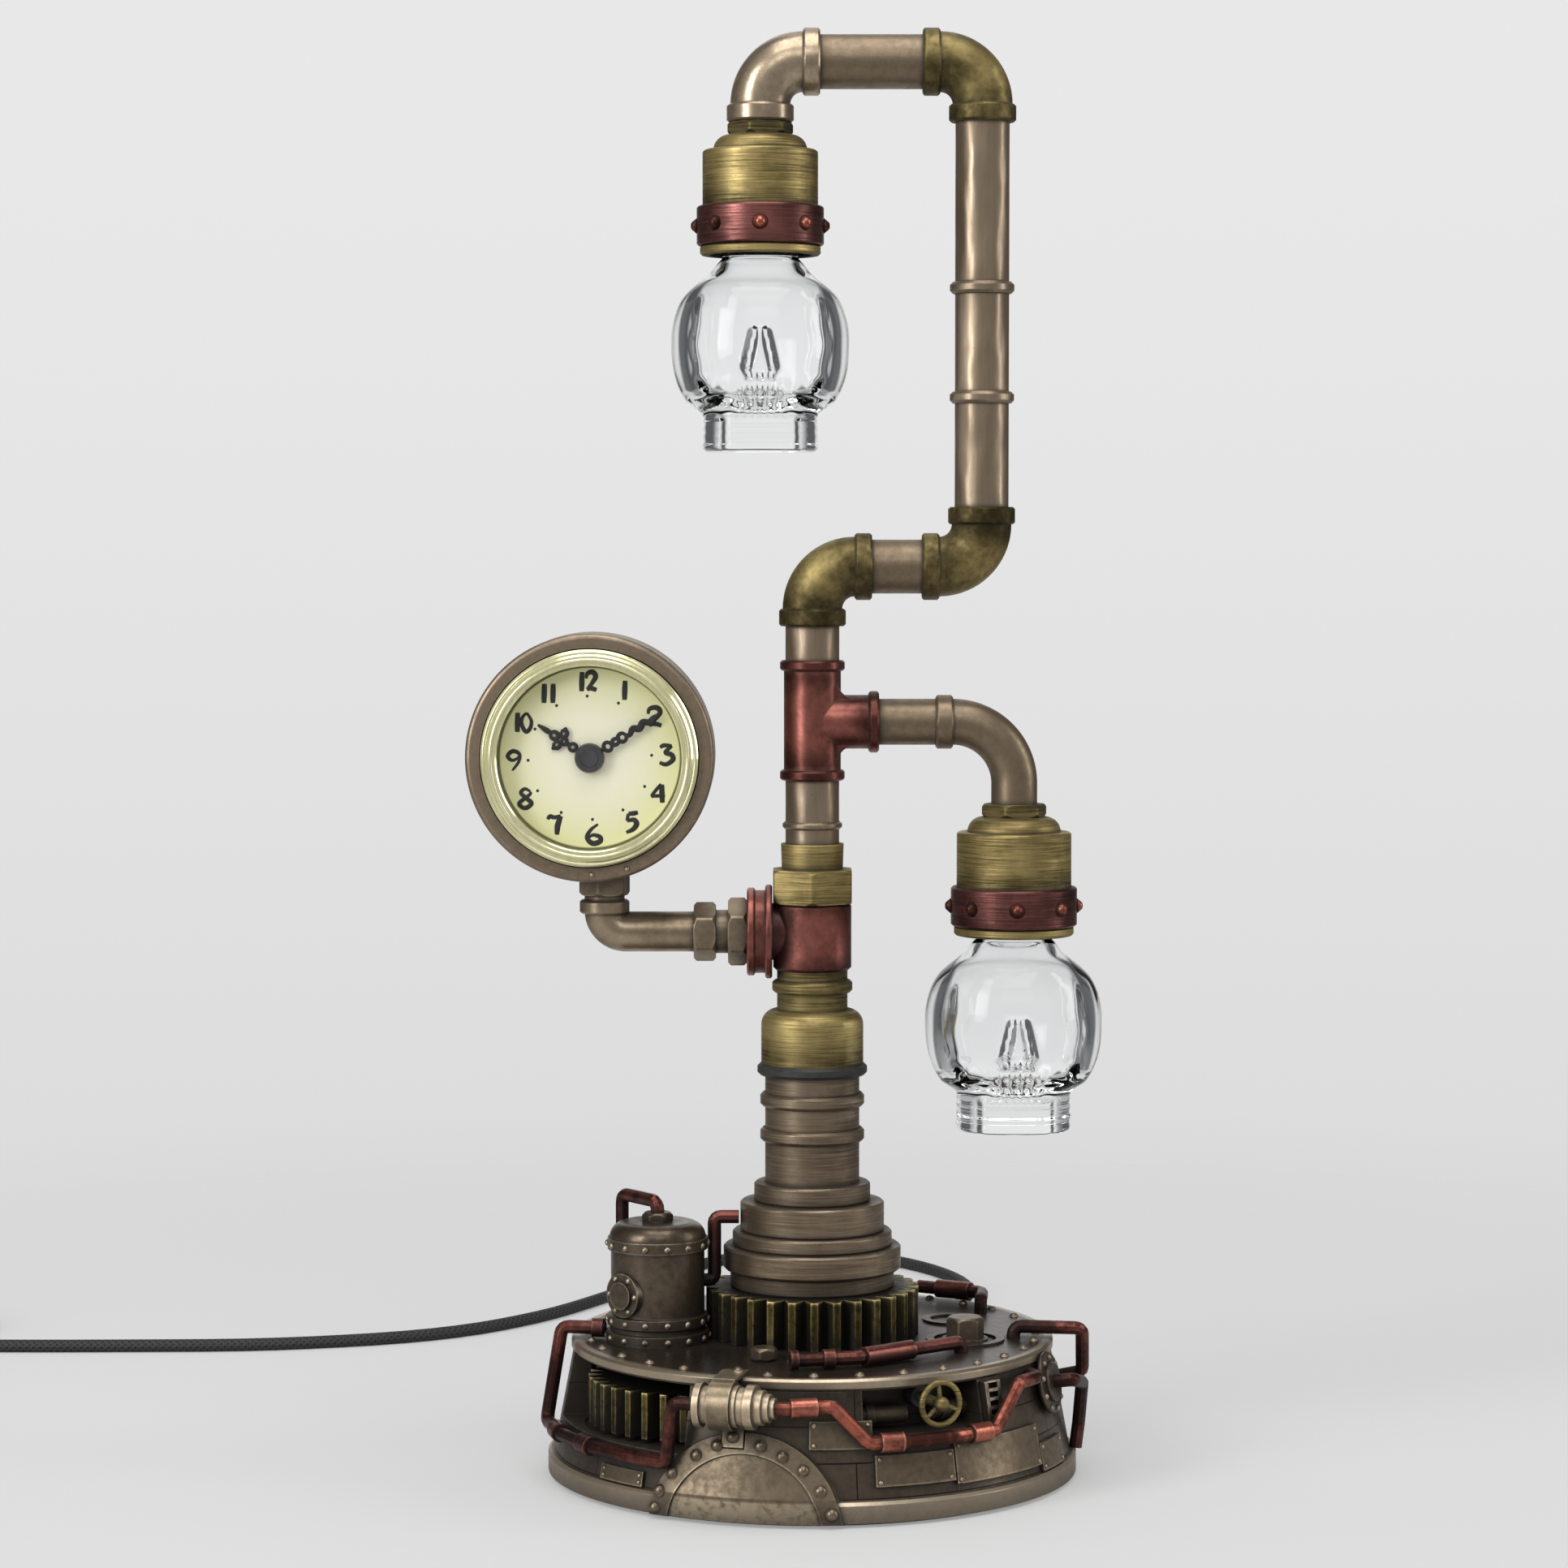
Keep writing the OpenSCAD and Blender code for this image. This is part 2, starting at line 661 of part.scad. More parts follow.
module left_pipe() {
    low_z = foot_top + 9.6;
    top_z = deck_z + 3.4;
    start = [boiler_at.x - boiler_r - boiler_flange - 0.3, boiler_at.y + 1, top_z];
    drop_r = wall_r + 2.6;
    before_arch = hug(low_z) + 0.7;
    low = concat(
        [polar(drop_r, -83, low_z)],
        [for (az = [-68, -53, -42]) polar(hug(low_z), az, low_z)],
        [polar(before_arch, -31.5, low_z)]
    );
    finish = can_centre - can_end * along(can_az);
    rise = finish - 7.5 * along(can_az);
    edge = polar(deck_r + thin_r + 1, -84, top_z);
    leave = unit(edge - start);
    first = unit(low[1] - low[0]);
    second = unit(low[2] - low[1]);
    color("#7a3428") {
        thin_pipe(concat([start, edge], low, [rise, finish]), 2.6);
        sleeve(low[1] - 8 * first, low[1] - 1.5 * first);
        sleeve(low[2] - 8 * second, low[2] - 1.5 * second);
        sleeve(start + 0.4 * leave, start + 4 * leave);
    }
}

module side_hatch() {
    color("#5f5344") on_wall(hatch_az, wall_at(hatch_z), hatch_z) rotate([-lean, 0, 0]) {
        translate([0, 0, fit]) cylinder(h = hatch_off, r = hatch_r - 5);
        translate([0, 0, hatch_off]) disc(hatch_r, 1.4, 0.4);
        translate([0, 0, hatch_off]) disc(hatch_r - 3.4, hatch_boss, 0.4);
    }
}

module side_pipes() {
    out = wall_normal(hatch_az);
    hatch_face = polar(wall_at(hatch_z), hatch_az, hatch_z) + (hatch_off + hatch_boss + fit) * out;
    out_r = wall_r + 4.4;
    color("#6b2f26") {
        thin_pipe([
            hatch_face, hatch_face + 5.5 * out, polar(out_r, 79, hatch_z - 2),
            polar(foot_r + 0.8, 87, foot_top + 8), polar(foot_r - 0.2, 87, foot_top)
        ], 2.6);
        thin_pipe([
            polar(deck_r - 12, 82, deck_z), polar(deck_r - 12, 82, deck_z + 3.6),
            polar(out_r - 0.6, 84, deck_z + 3), polar(out_r - 0.2, 91, hatch_z - 2),
            polar(wall_at(hatch_z - 4) + 0.7, 93, hatch_z - 4)
        ], 2.6);
    }
}

// Boiler and deck fittings

module boiler_body() {
    r = boiler_r;
    f = boiler_r + boiler_flange;
    color("#5c4f3d") translate(boiler_at) rotate_extrude() polygon([
        [0, 0], [f, 0], [f, 3.2], [r + 0.3, 3.6], [r + 0.3, 4.8], [f - 0.5, 5.2], [f - 0.5, 8.2],
        [r, 8.6], [r, boiler_h], [0, boiler_h]
    ]);
}

module boiler_lid() {
    edge = boiler_r + 1;
    color("#4a3f33") translate([boiler_at.x, boiler_at.y, boiler_top]) {
        rotate_extrude() {
            square([edge, lid_h]);
            translate([0, lid_h]) square([edge - dome_h, dome_h]);
            intersection() {
                translate([edge - dome_h - 0.6, lid_h]) circle(dome_h);
                translate([0, lid_h]) square([edge, dome_h]);
            }
        }
        translate([0, 0, lid_h + dome_h - 0.6]) hex(8.6, boiler_cap_h);
    }
}

module boiler_hatch() {
    hatch_h = 15.5;
    color("#6b5d47") difference() {
        translate([boiler_at.x, boiler_at.y, deck_z + hatch_h]) rotate([90, 0, -44]) {
            cylinder(h = boiler_r + 0.9, r = 6.8);
            cylinder(h = boiler_r + 2, r = 4.3);
        }
        translate([boiler_at.x, boiler_at.y, 0]) cylinder(h = deck_z + boiler_h, r = boiler_r + fit);
    }
}

module boiler_pipes() {
    cap = [boiler_at.x, boiler_at.y, boiler_cap_top];
    behind = [boiler_at.x - 11.5, boiler_at.y + 15.6, deck_z];
    loop_z = boiler_cap_top + 3.2;
    drum_z = step_z + total(step_h, 3) + 4.5;
    drum_r = step_r[3] + 0.4;
    feed_at = [-(step_r[1] + 2.8), -4];
    feed_z = step_z + thin_r + 0.3;
    to_boiler = unit([boiler_at.x - feed_at.x, boiler_at.y - feed_at.y]);
    meet = [boiler_at.x, boiler_at.y] - (boiler_r + 0.1) * to_boiler;
    color("#7a3428") {
        thin_pipe([cap, [cap.x, cap.y, loop_z], [behind.x, behind.y, loop_z], behind], 2.8);
        thin_pipe([
            [-drum_r, feed_at.y, drum_z], [feed_at.x, feed_at.y, drum_z], [feed_at.x, feed_at.y, feed_z],
            [meet.x, meet.y, feed_z]
        ], 2);
    }
}

module deck_bolts() {
    washer_t = 0.9;
    color("#3d362e") translate([0, 0, deck_z]) {
        translate([-14.8, -44.5]) rotate(15) hex(7.6, 4);
        translate([-3.9, -50.5]) {
            cylinder(h = washer_t, r = 4);
            intersection() {
                translate([0, 0, washer_t - 1.8]) sphere(3.4);
                translate([0, 0, washer_t - 0.2]) cylinder(h = 4, r = 4);
            }
        }
        translate([47, -13]) {
            cylinder(h = washer_t, r = 7);
            rotate(8) hex(10.4, 7.4);
        }
        translate([31, 50]) hex(6.4, 4);
    }
}

module deck_pipes() {
    front = [[-7, -61, 3.2], [13, -57, 3.2], [45, -32, 3.2], [45, -32, 0]];
    rear = [[35, 58.5, 4], [55, 47, 4], [54, 34, 4], [54, 34, 0]];
    first_dir = unit(front[1] - front[0]);
    front_dir = unit(front[2] - front[1]);
    rear_dir = unit(rear[1] - rear[0]);
    color("#7a3428") translate([0, 0, deck_z]) {
        thin_pipe(front, 2.2);
        sleeve(front[0], front[0] + 2.4 * first_dir);
        sleeve(front[0] + 10 * first_dir, front[0] + 13.5 * first_dir);
        sleeve(front[1] + 2.5 * front_dir, front[1] + 21 * front_dir);
        thin_pipe(rear, 2.4);
        sleeve(rear[0] + 7 * rear_dir, rear[0] + 19 * rear_dir);
    }
}

module valve_pipes() {
    pipe_z = recess_z + 4.2;
    pipe_at = recess_r + 3.4;
    color("#6e6049") difference() {
        for (az = [[recess_az[0] + fit, wheel_az - 4], [wheel_az + 4, recess_az[1] - fit]]) {
            sector(az) translate([pipe_at, pipe_z]) circle(2.6);
            sector([az[0] + 2, az[0] + 4]) translate([pipe_at, pipe_z]) circle(3.2);
        }
        rotate_extrude() translate([0, recess_z - over]) square([recess_r + fit, deck_z]);
    }
}

module ladder_bracket() {
    az = [recess_az[1] + 1, recess_az[1] + 6];
    z = [recess_z + 1, deck_under - 0.6];
    color("#5f5344") difference() {
        wall_panel(az, z, panel_t + 0.8);
        for (k = [0:3]) sector([az[0] + 1, az[1] - 1])
            translate([cavity_r, z[0] + 1.4 + 2.6 * k]) square([40, 1.6]);
    }
}

module rotary_switch() {
    bush_end = recess_r + 5;
    color("#2b2b2b") on_wall(wheel_az, 0, wheel_z) difference() {
        union() {
            translate([-switch_size.x / 2, -switch_size.y / 2, cavity_r - 1.6 - switch_size.z])
                cube(switch_size);
            translate([0, 0, cavity_r - 2]) cylinder(h = bush_end - cavity_r + 2, r = bush_r);
        }
        translate([0, 0, cavity_r - 8]) cylinder(h = 40, r = spindle_r + run);
    }
}

module hand_wheel() {
    rim_tube = 0.9;
    hub_r = 2.2;
    color("#b8a24a") on_wall(wheel_az, 0, wheel_z) {
        translate([0, 0, wheel_at_r]) {
            rotate_extrude() translate([wheel_r - rim_tube, 0]) circle(rim_tube);
            for (a = [98, 218, 338]) rotate(a) rotate([0, 90, 0]) cylinder(h = wheel_r - rim_tube, r = 0.7);
            translate([0, 0, -1.2]) cylinder(h = 2, r = hub_r);
            translate([0, 0, 0.8]) intersection() {
                sphere(hub_r);
                cylinder(h = hub_r, r = hub_r);
            }
        }
        translate([0, 0, cavity_r - 6]) cylinder(h = wheel_at_r - cavity_r + 6, r = spindle_r);
    }
}

// Column

module column_foot() {
    color("#7b6b50") difference() {
        union() {
            translate([0, 0, deck_z]) cylinder(h = top_gear_h, r = spigot_r);
            for (i = [0:4]) translate([0, 0, step_z + total(step_h, i)]) disc(step_r[i], step_h[i]);
        }
        translate([0, 0, deck_z - over]) cylinder(h = step_top, r = bore_r);
        translate([0, 0, step_top - socket_l]) cylinder(h = socket_l + over, r = column_r + fit);
    }
}

module column_tube() {
    ring_r = column_r + 1.5;
    ring_h = 4.1;
    color("#7b6b50") difference() {
        union() {
            translate([0, 0, step_top - socket_l]) cylinder(h = column_l + socket_l, r = column_r);
            for (z = [12.8, 23.7]) translate([0, 0, step_top + z]) disc(ring_r, ring_h, 0.8);
        }
        translate([0, 0, step_top - socket_l - over])
            cylinder(h = column_l + socket_l + 2 * over, r = column_r - pipe_wall);
    }
}

module seal_ring() {
    color("#1c1b1a") translate([0, 0, seal_z]) difference() {
        disc(seal_r, seal_h, 0.9);
        translate([0, 0, -over]) cylinder(h = seal_h + 2 * over, r = bore_r);
    }
}

module bell_coupling() {
    shoulder = 4.8;
    neck = 10.9;
    color("#8a7740") translate([0, 0, bell_z]) difference() {
        union() {
            rotate_extrude() {
                square([bell_r, bell_h - shoulder]);
                square([bell_r - shoulder, bell_h]);
                translate([bell_r - shoulder, bell_h - shoulder]) circle(shoulder);
            }
            cylinder(h = bell_h + neck_h, r = neck);
            translate([0, 0, bell_h + 5.2]) disc(neck + 1.5, 3.7, 0.7);
        }
        translate([0, 0, -over]) cylinder(h = bell_h + neck_h + 2 * over, r = bore_r);
    }
}

module lower_tee() {
    color("#5e3a33") difference() {
        union() {
            translate([0, 0, low_tee_z]) disc(low_tee_r, low_tee_h, 0.9);
            translate([0, 0, arm_z]) rotate([0, -90, 0]) {
                cylinder(h = spool_x + 1, r = 8.8);
                translate([0, 0, spool_x]) cylinder(h = spool_l - 1, r = 12.8);
                translate([0, 0, spool_x]) disc(14.5, 2.2, 0.5);
                translate([0, 0, spool_x + spool_l - 2.5]) disc(13.6, 2.5, 0.5);
            }
        }
        translate([0, 0, low_tee_z - over]) cylinder(h = low_tee_h + 2 * over, r = bore_r);
        translate([0, 0, arm_z]) rotate([0, -90, 0]) cylinder(h = spool_x + spool_l + over, r = wire_r);
    }
}

module brass_nut() {
    color("#8a7740") difference() {
        union() {
            translate([0, 0, nut_z]) rotate(30) hex(nut_w, nut_h);
            translate([0, 0, nut_z + nut_h - over])
                cylinder(h = nut_collar_h + over, r1 = pipe_r + 1.1, r2 = pipe_r + 1.4);
        }
        translate([0, 0, nut_z - over]) cylinder(h = nut_top, r = bore_r);
        translate([0, 0, nut_top - socket_l]) cylinder(h = socket_l + over, r = pipe_r + fit);
    }
}

module column_nipples() {
    bead_r = pipe_r + 0.9;
    color("#7b6b50") difference() {
        union() {
            translate([0, 0, nut_top - socket_l]) cylinder(h = low_nipple_l + 2 * socket_l, r = pipe_r);
            translate([0, 0, nut_top + 4.6]) disc(bead_r, 2.2, 0.6);
            translate([0, 0, high_tee_top - socket_l]) cylinder(h = high_nipple_l + 2 * socket_l, r = pipe_r);
        }
        translate([0, 0, nut_top - socket_l - over]) cylinder(h = crown_z, r = bore_r);
    }
}

// Concave gusset in the corner between a tee's run and its branch
module tee_fillet(size, thick) {
    translate([0, thick / 2, 0]) rotate([90, 0, 0]) linear_extrude(thick) difference() {
        translate([-fitting_r / 2, -fitting_r / 2]) square(size + fitting_r / 2);
        translate([size, size]) circle(size);
    }
}

module upper_tee() {
    bead_l = 3.2;
    run_r = pipe_r + 0.5;
    fillet = 6.5;
    color("#5e3a33") difference() {
        union() {
            translate([0, 0, high_tee_z]) cylinder(h = high_tee_h, r = run_r);
            for (z = [high_tee_z, high_tee_top - bead_l]) translate([0, 0, z]) disc(collar_r - 0.3, bead_l);
            translate([0, 0, branch_z]) rotate([0, 90, 0]) {
                cylinder(h = tee_reach, r = run_r - 0.5);
                translate([0, 0, tee_reach - bead_l]) disc(collar_r - 0.8, bead_l);
            }
            for (side = [0, 1]) translate([0, 0, branch_z]) mirror([0, 0, side])
                translate([run_r - 1.4, 0, run_r - 1.9]) tee_fillet(fillet, 9);
        }
        translate([0, 0, high_tee_z - over]) cylinder(h = high_tee_h + 2 * over, r = bore_r);
        for (z = [high_tee_z - over, high_tee_top - socket_l])
            translate([0, 0, z]) cylinder(h = socket_l + over, r = pipe_r + fit);
        translate([0, 0, branch_z]) rotate([0, 90, 0]) {
            cylinder(h = tee_reach + over, r = wire_r);
            translate([0, 0, tee_reach - socket_l]) cylinder(h = socket_l + over, r = branch_r + fit);
        }
    }
}

// Elbow with a collar and a socket at each end: one leg down, one leg to the right
module elbow() {
    legs = [[0, 0, -elbow_reach], [0, 0, 0], [elbow_reach, 0, 0]];
    difference() {
        union() {
            pipe_run(legs, fitting_r, elbow_bend);
            translate([0, 0, -elbow_reach]) disc(collar_r, collar_l);
            translate([elbow_reach - collar_l, 0, 0]) rotate([0, 90, 0]) disc(collar_r, collar_l);
        }
        pipe_run([legs[0] - [0, 0, over], legs[1], legs[2] + [over, 0, 0]], wire_r, elbow_bend);
        translate([0, 0, -elbow_reach - over]) cylinder(h = socket_l + over, r = pipe_r + fit);
        translate([elbow_reach - socket_l, 0, 0]) rotate([0, 90, 0])
            cylinder(h = socket_l + over, r = pipe_r + fit);
    }
}

module brass_elbows() {
    color("#8a7740") {
        translate([0, 0, low_elbow_z]) elbow();
        translate([offset_x, 0, low_elbow_z]) rotate([0, 180, 0]) elbow();
        translate([offset_x, 0, crown_z]) mirror([1, 0, 0]) elbow();
    }
}

module crown_elbow() {
    color("#7b6b50") translate([-upper_x, 0, crown_z]) elbow();
}

// Straight pipe along X whose ends reach into the sockets at both sides
module cross_pipe(x, z, r) {
    translate([x[0] - socket_l, 0, z]) rotate([0, 90, 0]) tube(r, r - pipe_wall, x[1] - x[0] + 2 * socket_l);
}

module cross_pipes() {
    color("#7b6b50") {
        cross_pipe([elbow_reach, offset_x - elbow_reach], low_elbow_z, pipe_r);
        cross_pipe([elbow_reach - upper_x, offset_x - elbow_reach], crown_z, pipe_r);
        cross_pipe([tee_reach, tee_reach + branch_l], branch_z, branch_r);
    }
}

module riser_pipe() {
    bead_r = pipe_r + 1.6;
    bead_l = 3.6;
    color("#7b6b50") translate([offset_x, 0, riser_z]) difference() {
        union() {
            translate([0, 0, -socket_l]) cylinder(h = riser_l + 2 * socket_l, r = pipe_r);
            for (share = [0.27, 0.555]) translate([0, 0, share * riser_l]) disc(bead_r, bead_l, 0.9);
        }
        translate([0, 0, -socket_l - over]) cylinder(h = riser_l + 2 * socket_l + 2 * over, r = bore_r);
    }
}

module branch_elbow() {
    start = tee_reach + branch_l;
    drop = branch_bend + branch_drop;
    legs = [[start + socket_l, 0, branch_z], [lower_x, 0, branch_z], [lower_x, 0, branch_z - drop]];
    color("#5c4536") difference() {
        union() {
            pipe_run(legs, branch_r, branch_bend);
            translate([start, 0, branch_z]) rotate([0, 90, 0]) disc(branch_r + 1.2, branch_collar_l);
        }
        pipe_run([legs[0], legs[1], legs[2] - [0, 0, over]], wire_r, branch_bend);
        translate([start - over, 0, branch_z]) rotate([0, 90, 0])
            cylinder(h = socket_l + over, r = branch_r + fit);
        translate(legs[2] - [0, 0, over]) cylinder(h = socket_l + over, r = branch_bore + fit);
    }
}

// Lamp heads

// Brass cup with its domed top, six-sided neck and a spigot for the pipe above
module lamp_cup(spigot) {
    shoulder = 1;
    dome_in = 9.8;
    difference() {
        union() {
            rotate_extrude() {
                square([cup_r, cup_h - shoulder]);
                square([cup_r - shoulder, cup_h]);
                translate([cup_r - shoulder, cup_h - shoulder]) circle(shoulder);
                translate([0, cup_h]) square([dome_in, head_dome_h]);
                intersection() {
                    translate([dome_in, cup_h]) circle(head_dome_h);
                    translate([0, cup_h]) square([cup_r, head_dome_h]);
                }
            }
            disc(rim_r, rim_h);
            translate([0, 0, cup_h + head_dome_h]) rotate(12) hex(hex_w, hex_h);
            translate([0, 0, head_h]) cylinder(h = socket_l - 0.4, r = spigot);
        }
        translate([0, 0, -over]) cylinder(h = cup_ceiling + over, r = cup_in_r);
        cylinder(h = head_h + socket_l + over, r = wire_r - 1);
    }
}

module upper_cup() {
    color("#8a7740") translate(upper_rim) lamp_cup(pipe_r);
}

module lower_cup() {
    color("#8a7740") translate(lower_rim) lamp_cup(branch_bore);
}

module copper_bands() {
    color("#6b2f26") for (rim = [upper_rim, lower_rim]) translate(rim + [0, 0, rim_h]) difference() {
        disc(cup_r + band_t, band_h, 0.5);
        translate([0, 0, -over]) cylinder(h = band_h + 2 * over, r = cup_r + fit);
    }
}

module shade_galleries() {
    color("#2b2b2b") for (rim = [upper_rim, lower_rim]) translate(rim + [0, 0, gallery_z[0]])
        tube(cup_in_r - fit, neck_r + slide_gap, gallery_z[1] - gallery_z[0]);
}

// Lamp holders, each with its LED disc below
module led_lamps() {
    color("ivory") for (rim = [upper_rim, lower_rim]) translate(rim + [0, 0, led_z]) {
        cylinder(h = 2.5, r = led_r);
        translate([0, 0, 2]) cylinder(h = lamp_h - 2, r = holder_r);
    }
}

// Skull glass: depth below the rim as a share of the height, and angle from the front
skull_sides = 40;
outer_rings = 30;
inner_rings = 12;
jaw_share = 0.6;
hollow_share = 0.76;
function ease(t) = let (c = min(max(t, 0), 1)) c * c * (3 - 2 * c);
function bump(x, width) = exp(-(x / width) * (x / width));
function turned(a) = a > 180 ? a - 360 : a;
// Plain turned outline: neck, cranium, then the narrower jaw
function skull_outline(s) =
    let (
        fullness = s < 0.43 ? 1.9 : 2.5,
        cranium = globe_r * pow(max(1 - pow(abs(s - 0.43) / 0.47, fullness), 0), 1 / fullness),
        jaw = globe_r * (jaw_share + 0.05 * s)
    )
    s <= 0 ? neck_r
    : s < 0.43 ? max(neck_r, cranium)
    : cranium + (jaw - cranium) * ease((s - 0.75) / 0.08);
// Depth of the modelling at a place on the glass
function skull_relief(s, a) =
    let (front = turned(a))
    0.055 * bump(abs(front) - 43, 6) * bump(s - 0.42, 0.17)
    + 0.13 * bump(abs(front) - 27, 11) * bump(s - 0.71, 0.07)
    + 0.075 * bump(front, 3 + 14 * max(s - 0.35, 0)) * bump(s - 0.6, 0.13)
    + 0.03 * ease((s - 0.8) / 0.04) * bump(front, 60) * (0.5 + 0.5 * cos(15 * front));
// The jaw's four corners stand out past a round
function jaw_corner(s, a) = 0.1 * ease((s - 0.78) / 0.06) * (1 - cos(4 * a)) / 2;
function skull_radius(s, a) = skull_outline(s) * (1 + jaw_corner(s, a)) - globe_r * skull_relief(s, a);
function outer_share(i) = i < 3 ? 0 : (i - 2) / (outer_rings - 3);
function outer_depth(i) = i < 3 ? neck_l * (i / 2 - 1) : globe_h * outer_share(i);
function inner_radius(d) =
    d < 0 ? neck_r - glass_t : max(skull_outline(d / globe_h) * 0.88 - glass_t, neck_r - glass_t);
function hollow_depth(k) = -neck_l + (hollow_share * globe_h + neck_l) * k / (inner_rings - 1);

module skull_shade() {
    n = skull_sides;
    bottom = globe_h;
    outer = [
        for (i = [0:outer_rings - 1], k = [0:n - 1])
        let (a = k * 360 / n, r = i < 3 ? neck_r : skull_radius(outer_share(i), a))
        [r * sin(a), -r * cos(a), -outer_depth(i)]
    ];
    inner = [
        for (i = [inner_rings - 1:-1:0], k = [0:n - 1])
        let (a = k * 360 / n, d = hollow_depth(i), r = inner_radius(d) * (i == inner_rings - 1 ? 0.8 : 1))
        [r * sin(a), -r * cos(a), -d]
    ];
    rows = outer_rings + inner_rings;
    low = rows * n;
    foot = (outer_rings - 1) * n;
    floor_row = outer_rings * n;
    skip = outer_rings - 1;
    walls = [
        for (i = [0:rows - 1], k = [0:n - 1])
        if (i != skip)
        let (row = i * n, next = (i + 1) % rows * n, beside = (k + 1) % n)
        each [[row + k, row + beside, next + beside], [row + k, next + beside, next + k]]
    ];
    caps = [
        for (k = [0:n - 1])
        each [[foot + k, foot + (k + 1) % n, low], [floor_row + (k + 1) % n, floor_row + k, low + 1]]
    ];
    polyhedron(
        concat(outer, inner, [[0, 0, -bottom], [0, 0, -hollow_depth(inner_rings - 1)]]),
        concat(walls, caps), convexity = 10
    );
}

module upper_shade() {
    color("#c9d6d8", 0.5) translate(upper_rim) skull_shade();
}

module lower_shade() {
    color("#c9d6d8", 0.5) translate(lower_rim) skull_shade();
}

// Clock arm

module arm_unions() {
    color("#8a7740") translate([0, 0, arm_z]) rotate([0, -90, 0]) difference() {
        translate([0, 0, spool_x + spool_l]) {
            hex(18.6, big_nut_l);
            cylinder(h = big_nut_l + union_l, r = arm_r + 0.5);
            translate([0, 0, big_nut_l + union_l]) hex(16.2, small_nut_l);
        }
        cylinder(h = arm_x + over, r = wire_r - 1);
        translate([0, 0, arm_x - socket_l]) cylinder(h = socket_l + over, r = arm_r + fit);
    }
}

module arm_pipe() {
    hex_h = 5;
    stem_top = clock_at.z - drum_r - arm_z + 6;
    legs = [[-arm_x + socket_l, 0, 0], [-stem_x, 0, 0], [-stem_x, 0, stem_top]];
    color("#6b4f3a") difference() {
        translate([0, 0, arm_z]) {
            pipe_run(legs, arm_r, stem_bend);
            translate([-stem_x, 0, stem_bend - 0.8]) disc(arm_r + 1.5, 4.2);
            translate([-stem_x, 0, clock_rise - drum_r - hex_h]) rotate(18) hex(stem_hex_w, hex_h + 4);
        }
        translate([clock_at.x, drum_front - over, clock_at.z]) rotate([-90, 0, 0])
            cylinder(h = drum_d + 2 * over, r = drum_r + fit);
    }
}

// Frame of the clock: Z towards the back, X to the right, Y down, centred on the dial
module on_clock() {
    translate(clock_at) rotate([-90, 0, 0]) children();
}

module clock_drum() {
    edge = 1.6;
    bore = insert_r + slide_gap;
    color("#6b5740") on_clock() difference() {
        rotate_extrude() {
            translate([0, drum_front + edge]) square([drum_r, drum_d - 2 * edge]);
            translate([0, drum_front]) square([drum_r - edge, drum_d]);
            for (y = [drum_front + edge, drum_back - edge]) translate([drum_r - edge, y]) circle(edge);
        }
        translate([0, 0, drum_front - over]) cylinder(h = drum_d - drum_wall + over, r = bore);
        translate([0, 0, drum_front - over]) cylinder(h = seat_depth + over, r = bezel_r + slide_gap);
    }
}

module clock_movement() {
    color("#1f1f1f") on_clock() difference() {
        translate([0, 0, movement_y]) {
            cylinder(h = movement_d - 6, r = insert_r);
            cylinder(h = movement_d, r = insert_r - 8);
        }
        translate([0, 0, movement_y - over]) cylinder(h = 8 + over, r = hand_pin_r + run);
        translate([0, 0, movement_y - over]) cylinder(h = 4 + over, r = sleeve_r + run);
        translate([0, knob_drop, movement_back - 6]) cylinder(h = 6 + over, r = hand_pin_r + run);
    }
}

module clock_bezel() {
    color("#d8bf7a") on_clock() difference() {
        rotate_extrude() polygon([
            [dial_r, lens_y], [dial_r, bezel_y + 0.4], [dial_r + 0.4, bezel_y], [bezel_r - 2, bezel_y],
            [bezel_r, bezel_y + 2], [bezel_r, seat_y], [insert_r, seat_y], [insert_r, dial_y],
            [dial_r, dial_y]
        ]);
        translate([0, 0, lens_y]) cylinder(h = lens_t, r = dial_r + 0.9);
    }
}

module clock_dial() {
    color("#efe6b8") on_clock() translate([0, 0, dial_y]) tube(insert_r, sleeve_r + 0.6, dial_t);
}

module clock_lens() {
    color("#dfe8ea", 0.3) on_clock() translate([0, 0, lens_y]) cylinder(h = lens_t, r = dial_r + 0.9 - fit);
}

// Pierced hand that points up, seen from the front
module hand_plate(long, wide) {
    linear_extrude(hand_t) difference() {
        union() {
            circle(sleeve_r + 1);
            polygon([
                [-0.7, 0], [-0.7, -0.3 * long], [-wide / 2, -0.62 * long], [0, -long],
                [wide / 2, -0.62 * long], [0.7, -0.3 * long], [0.7, 0]
            ]);
        }
        polygon([
            [0, -0.42 * long], [-wide / 2 + 0.8, -0.62 * long],
            [0, -0.82 * long], [wide / 2 - 0.8, -0.62 * long]
        ]);
    }
}

module hour_hand() {
    color("black") on_clock() rotate(shown_minutes / 2) difference() {
        translate([0, 0, hour_y]) {
            hand_plate(0.67 * dial_r, 4.6);
            cylinder(h = movement_y - hour_y + 3, r = sleeve_r);
        }
        translate([0, 0, hour_y - over]) cylinder(h = 20, r = hand_pin_r + 0.4);
    }
}

module minute_hand() {
    color("black") on_clock() rotate(shown_minutes * 6) {
        translate([0, 0, minute_y]) hand_plate(0.89 * dial_r, 4);
        translate([0, 0, minute_y]) cylinder(h = movement_y - minute_y + 7, r = hand_pin_r);
        translate([0, 0, minute_y - 0.7]) cylinder(h = 0.7, r = cap_r);
    }
}

module setting_knob() {
    color("#333333") on_clock() translate([0, knob_drop, movement_back - 4]) {
        cylinder(h = 5, r = hand_pin_r);
        translate([0, 0, 4.4]) disc(5, 2.6, 0.4);
    }
}

// Cord

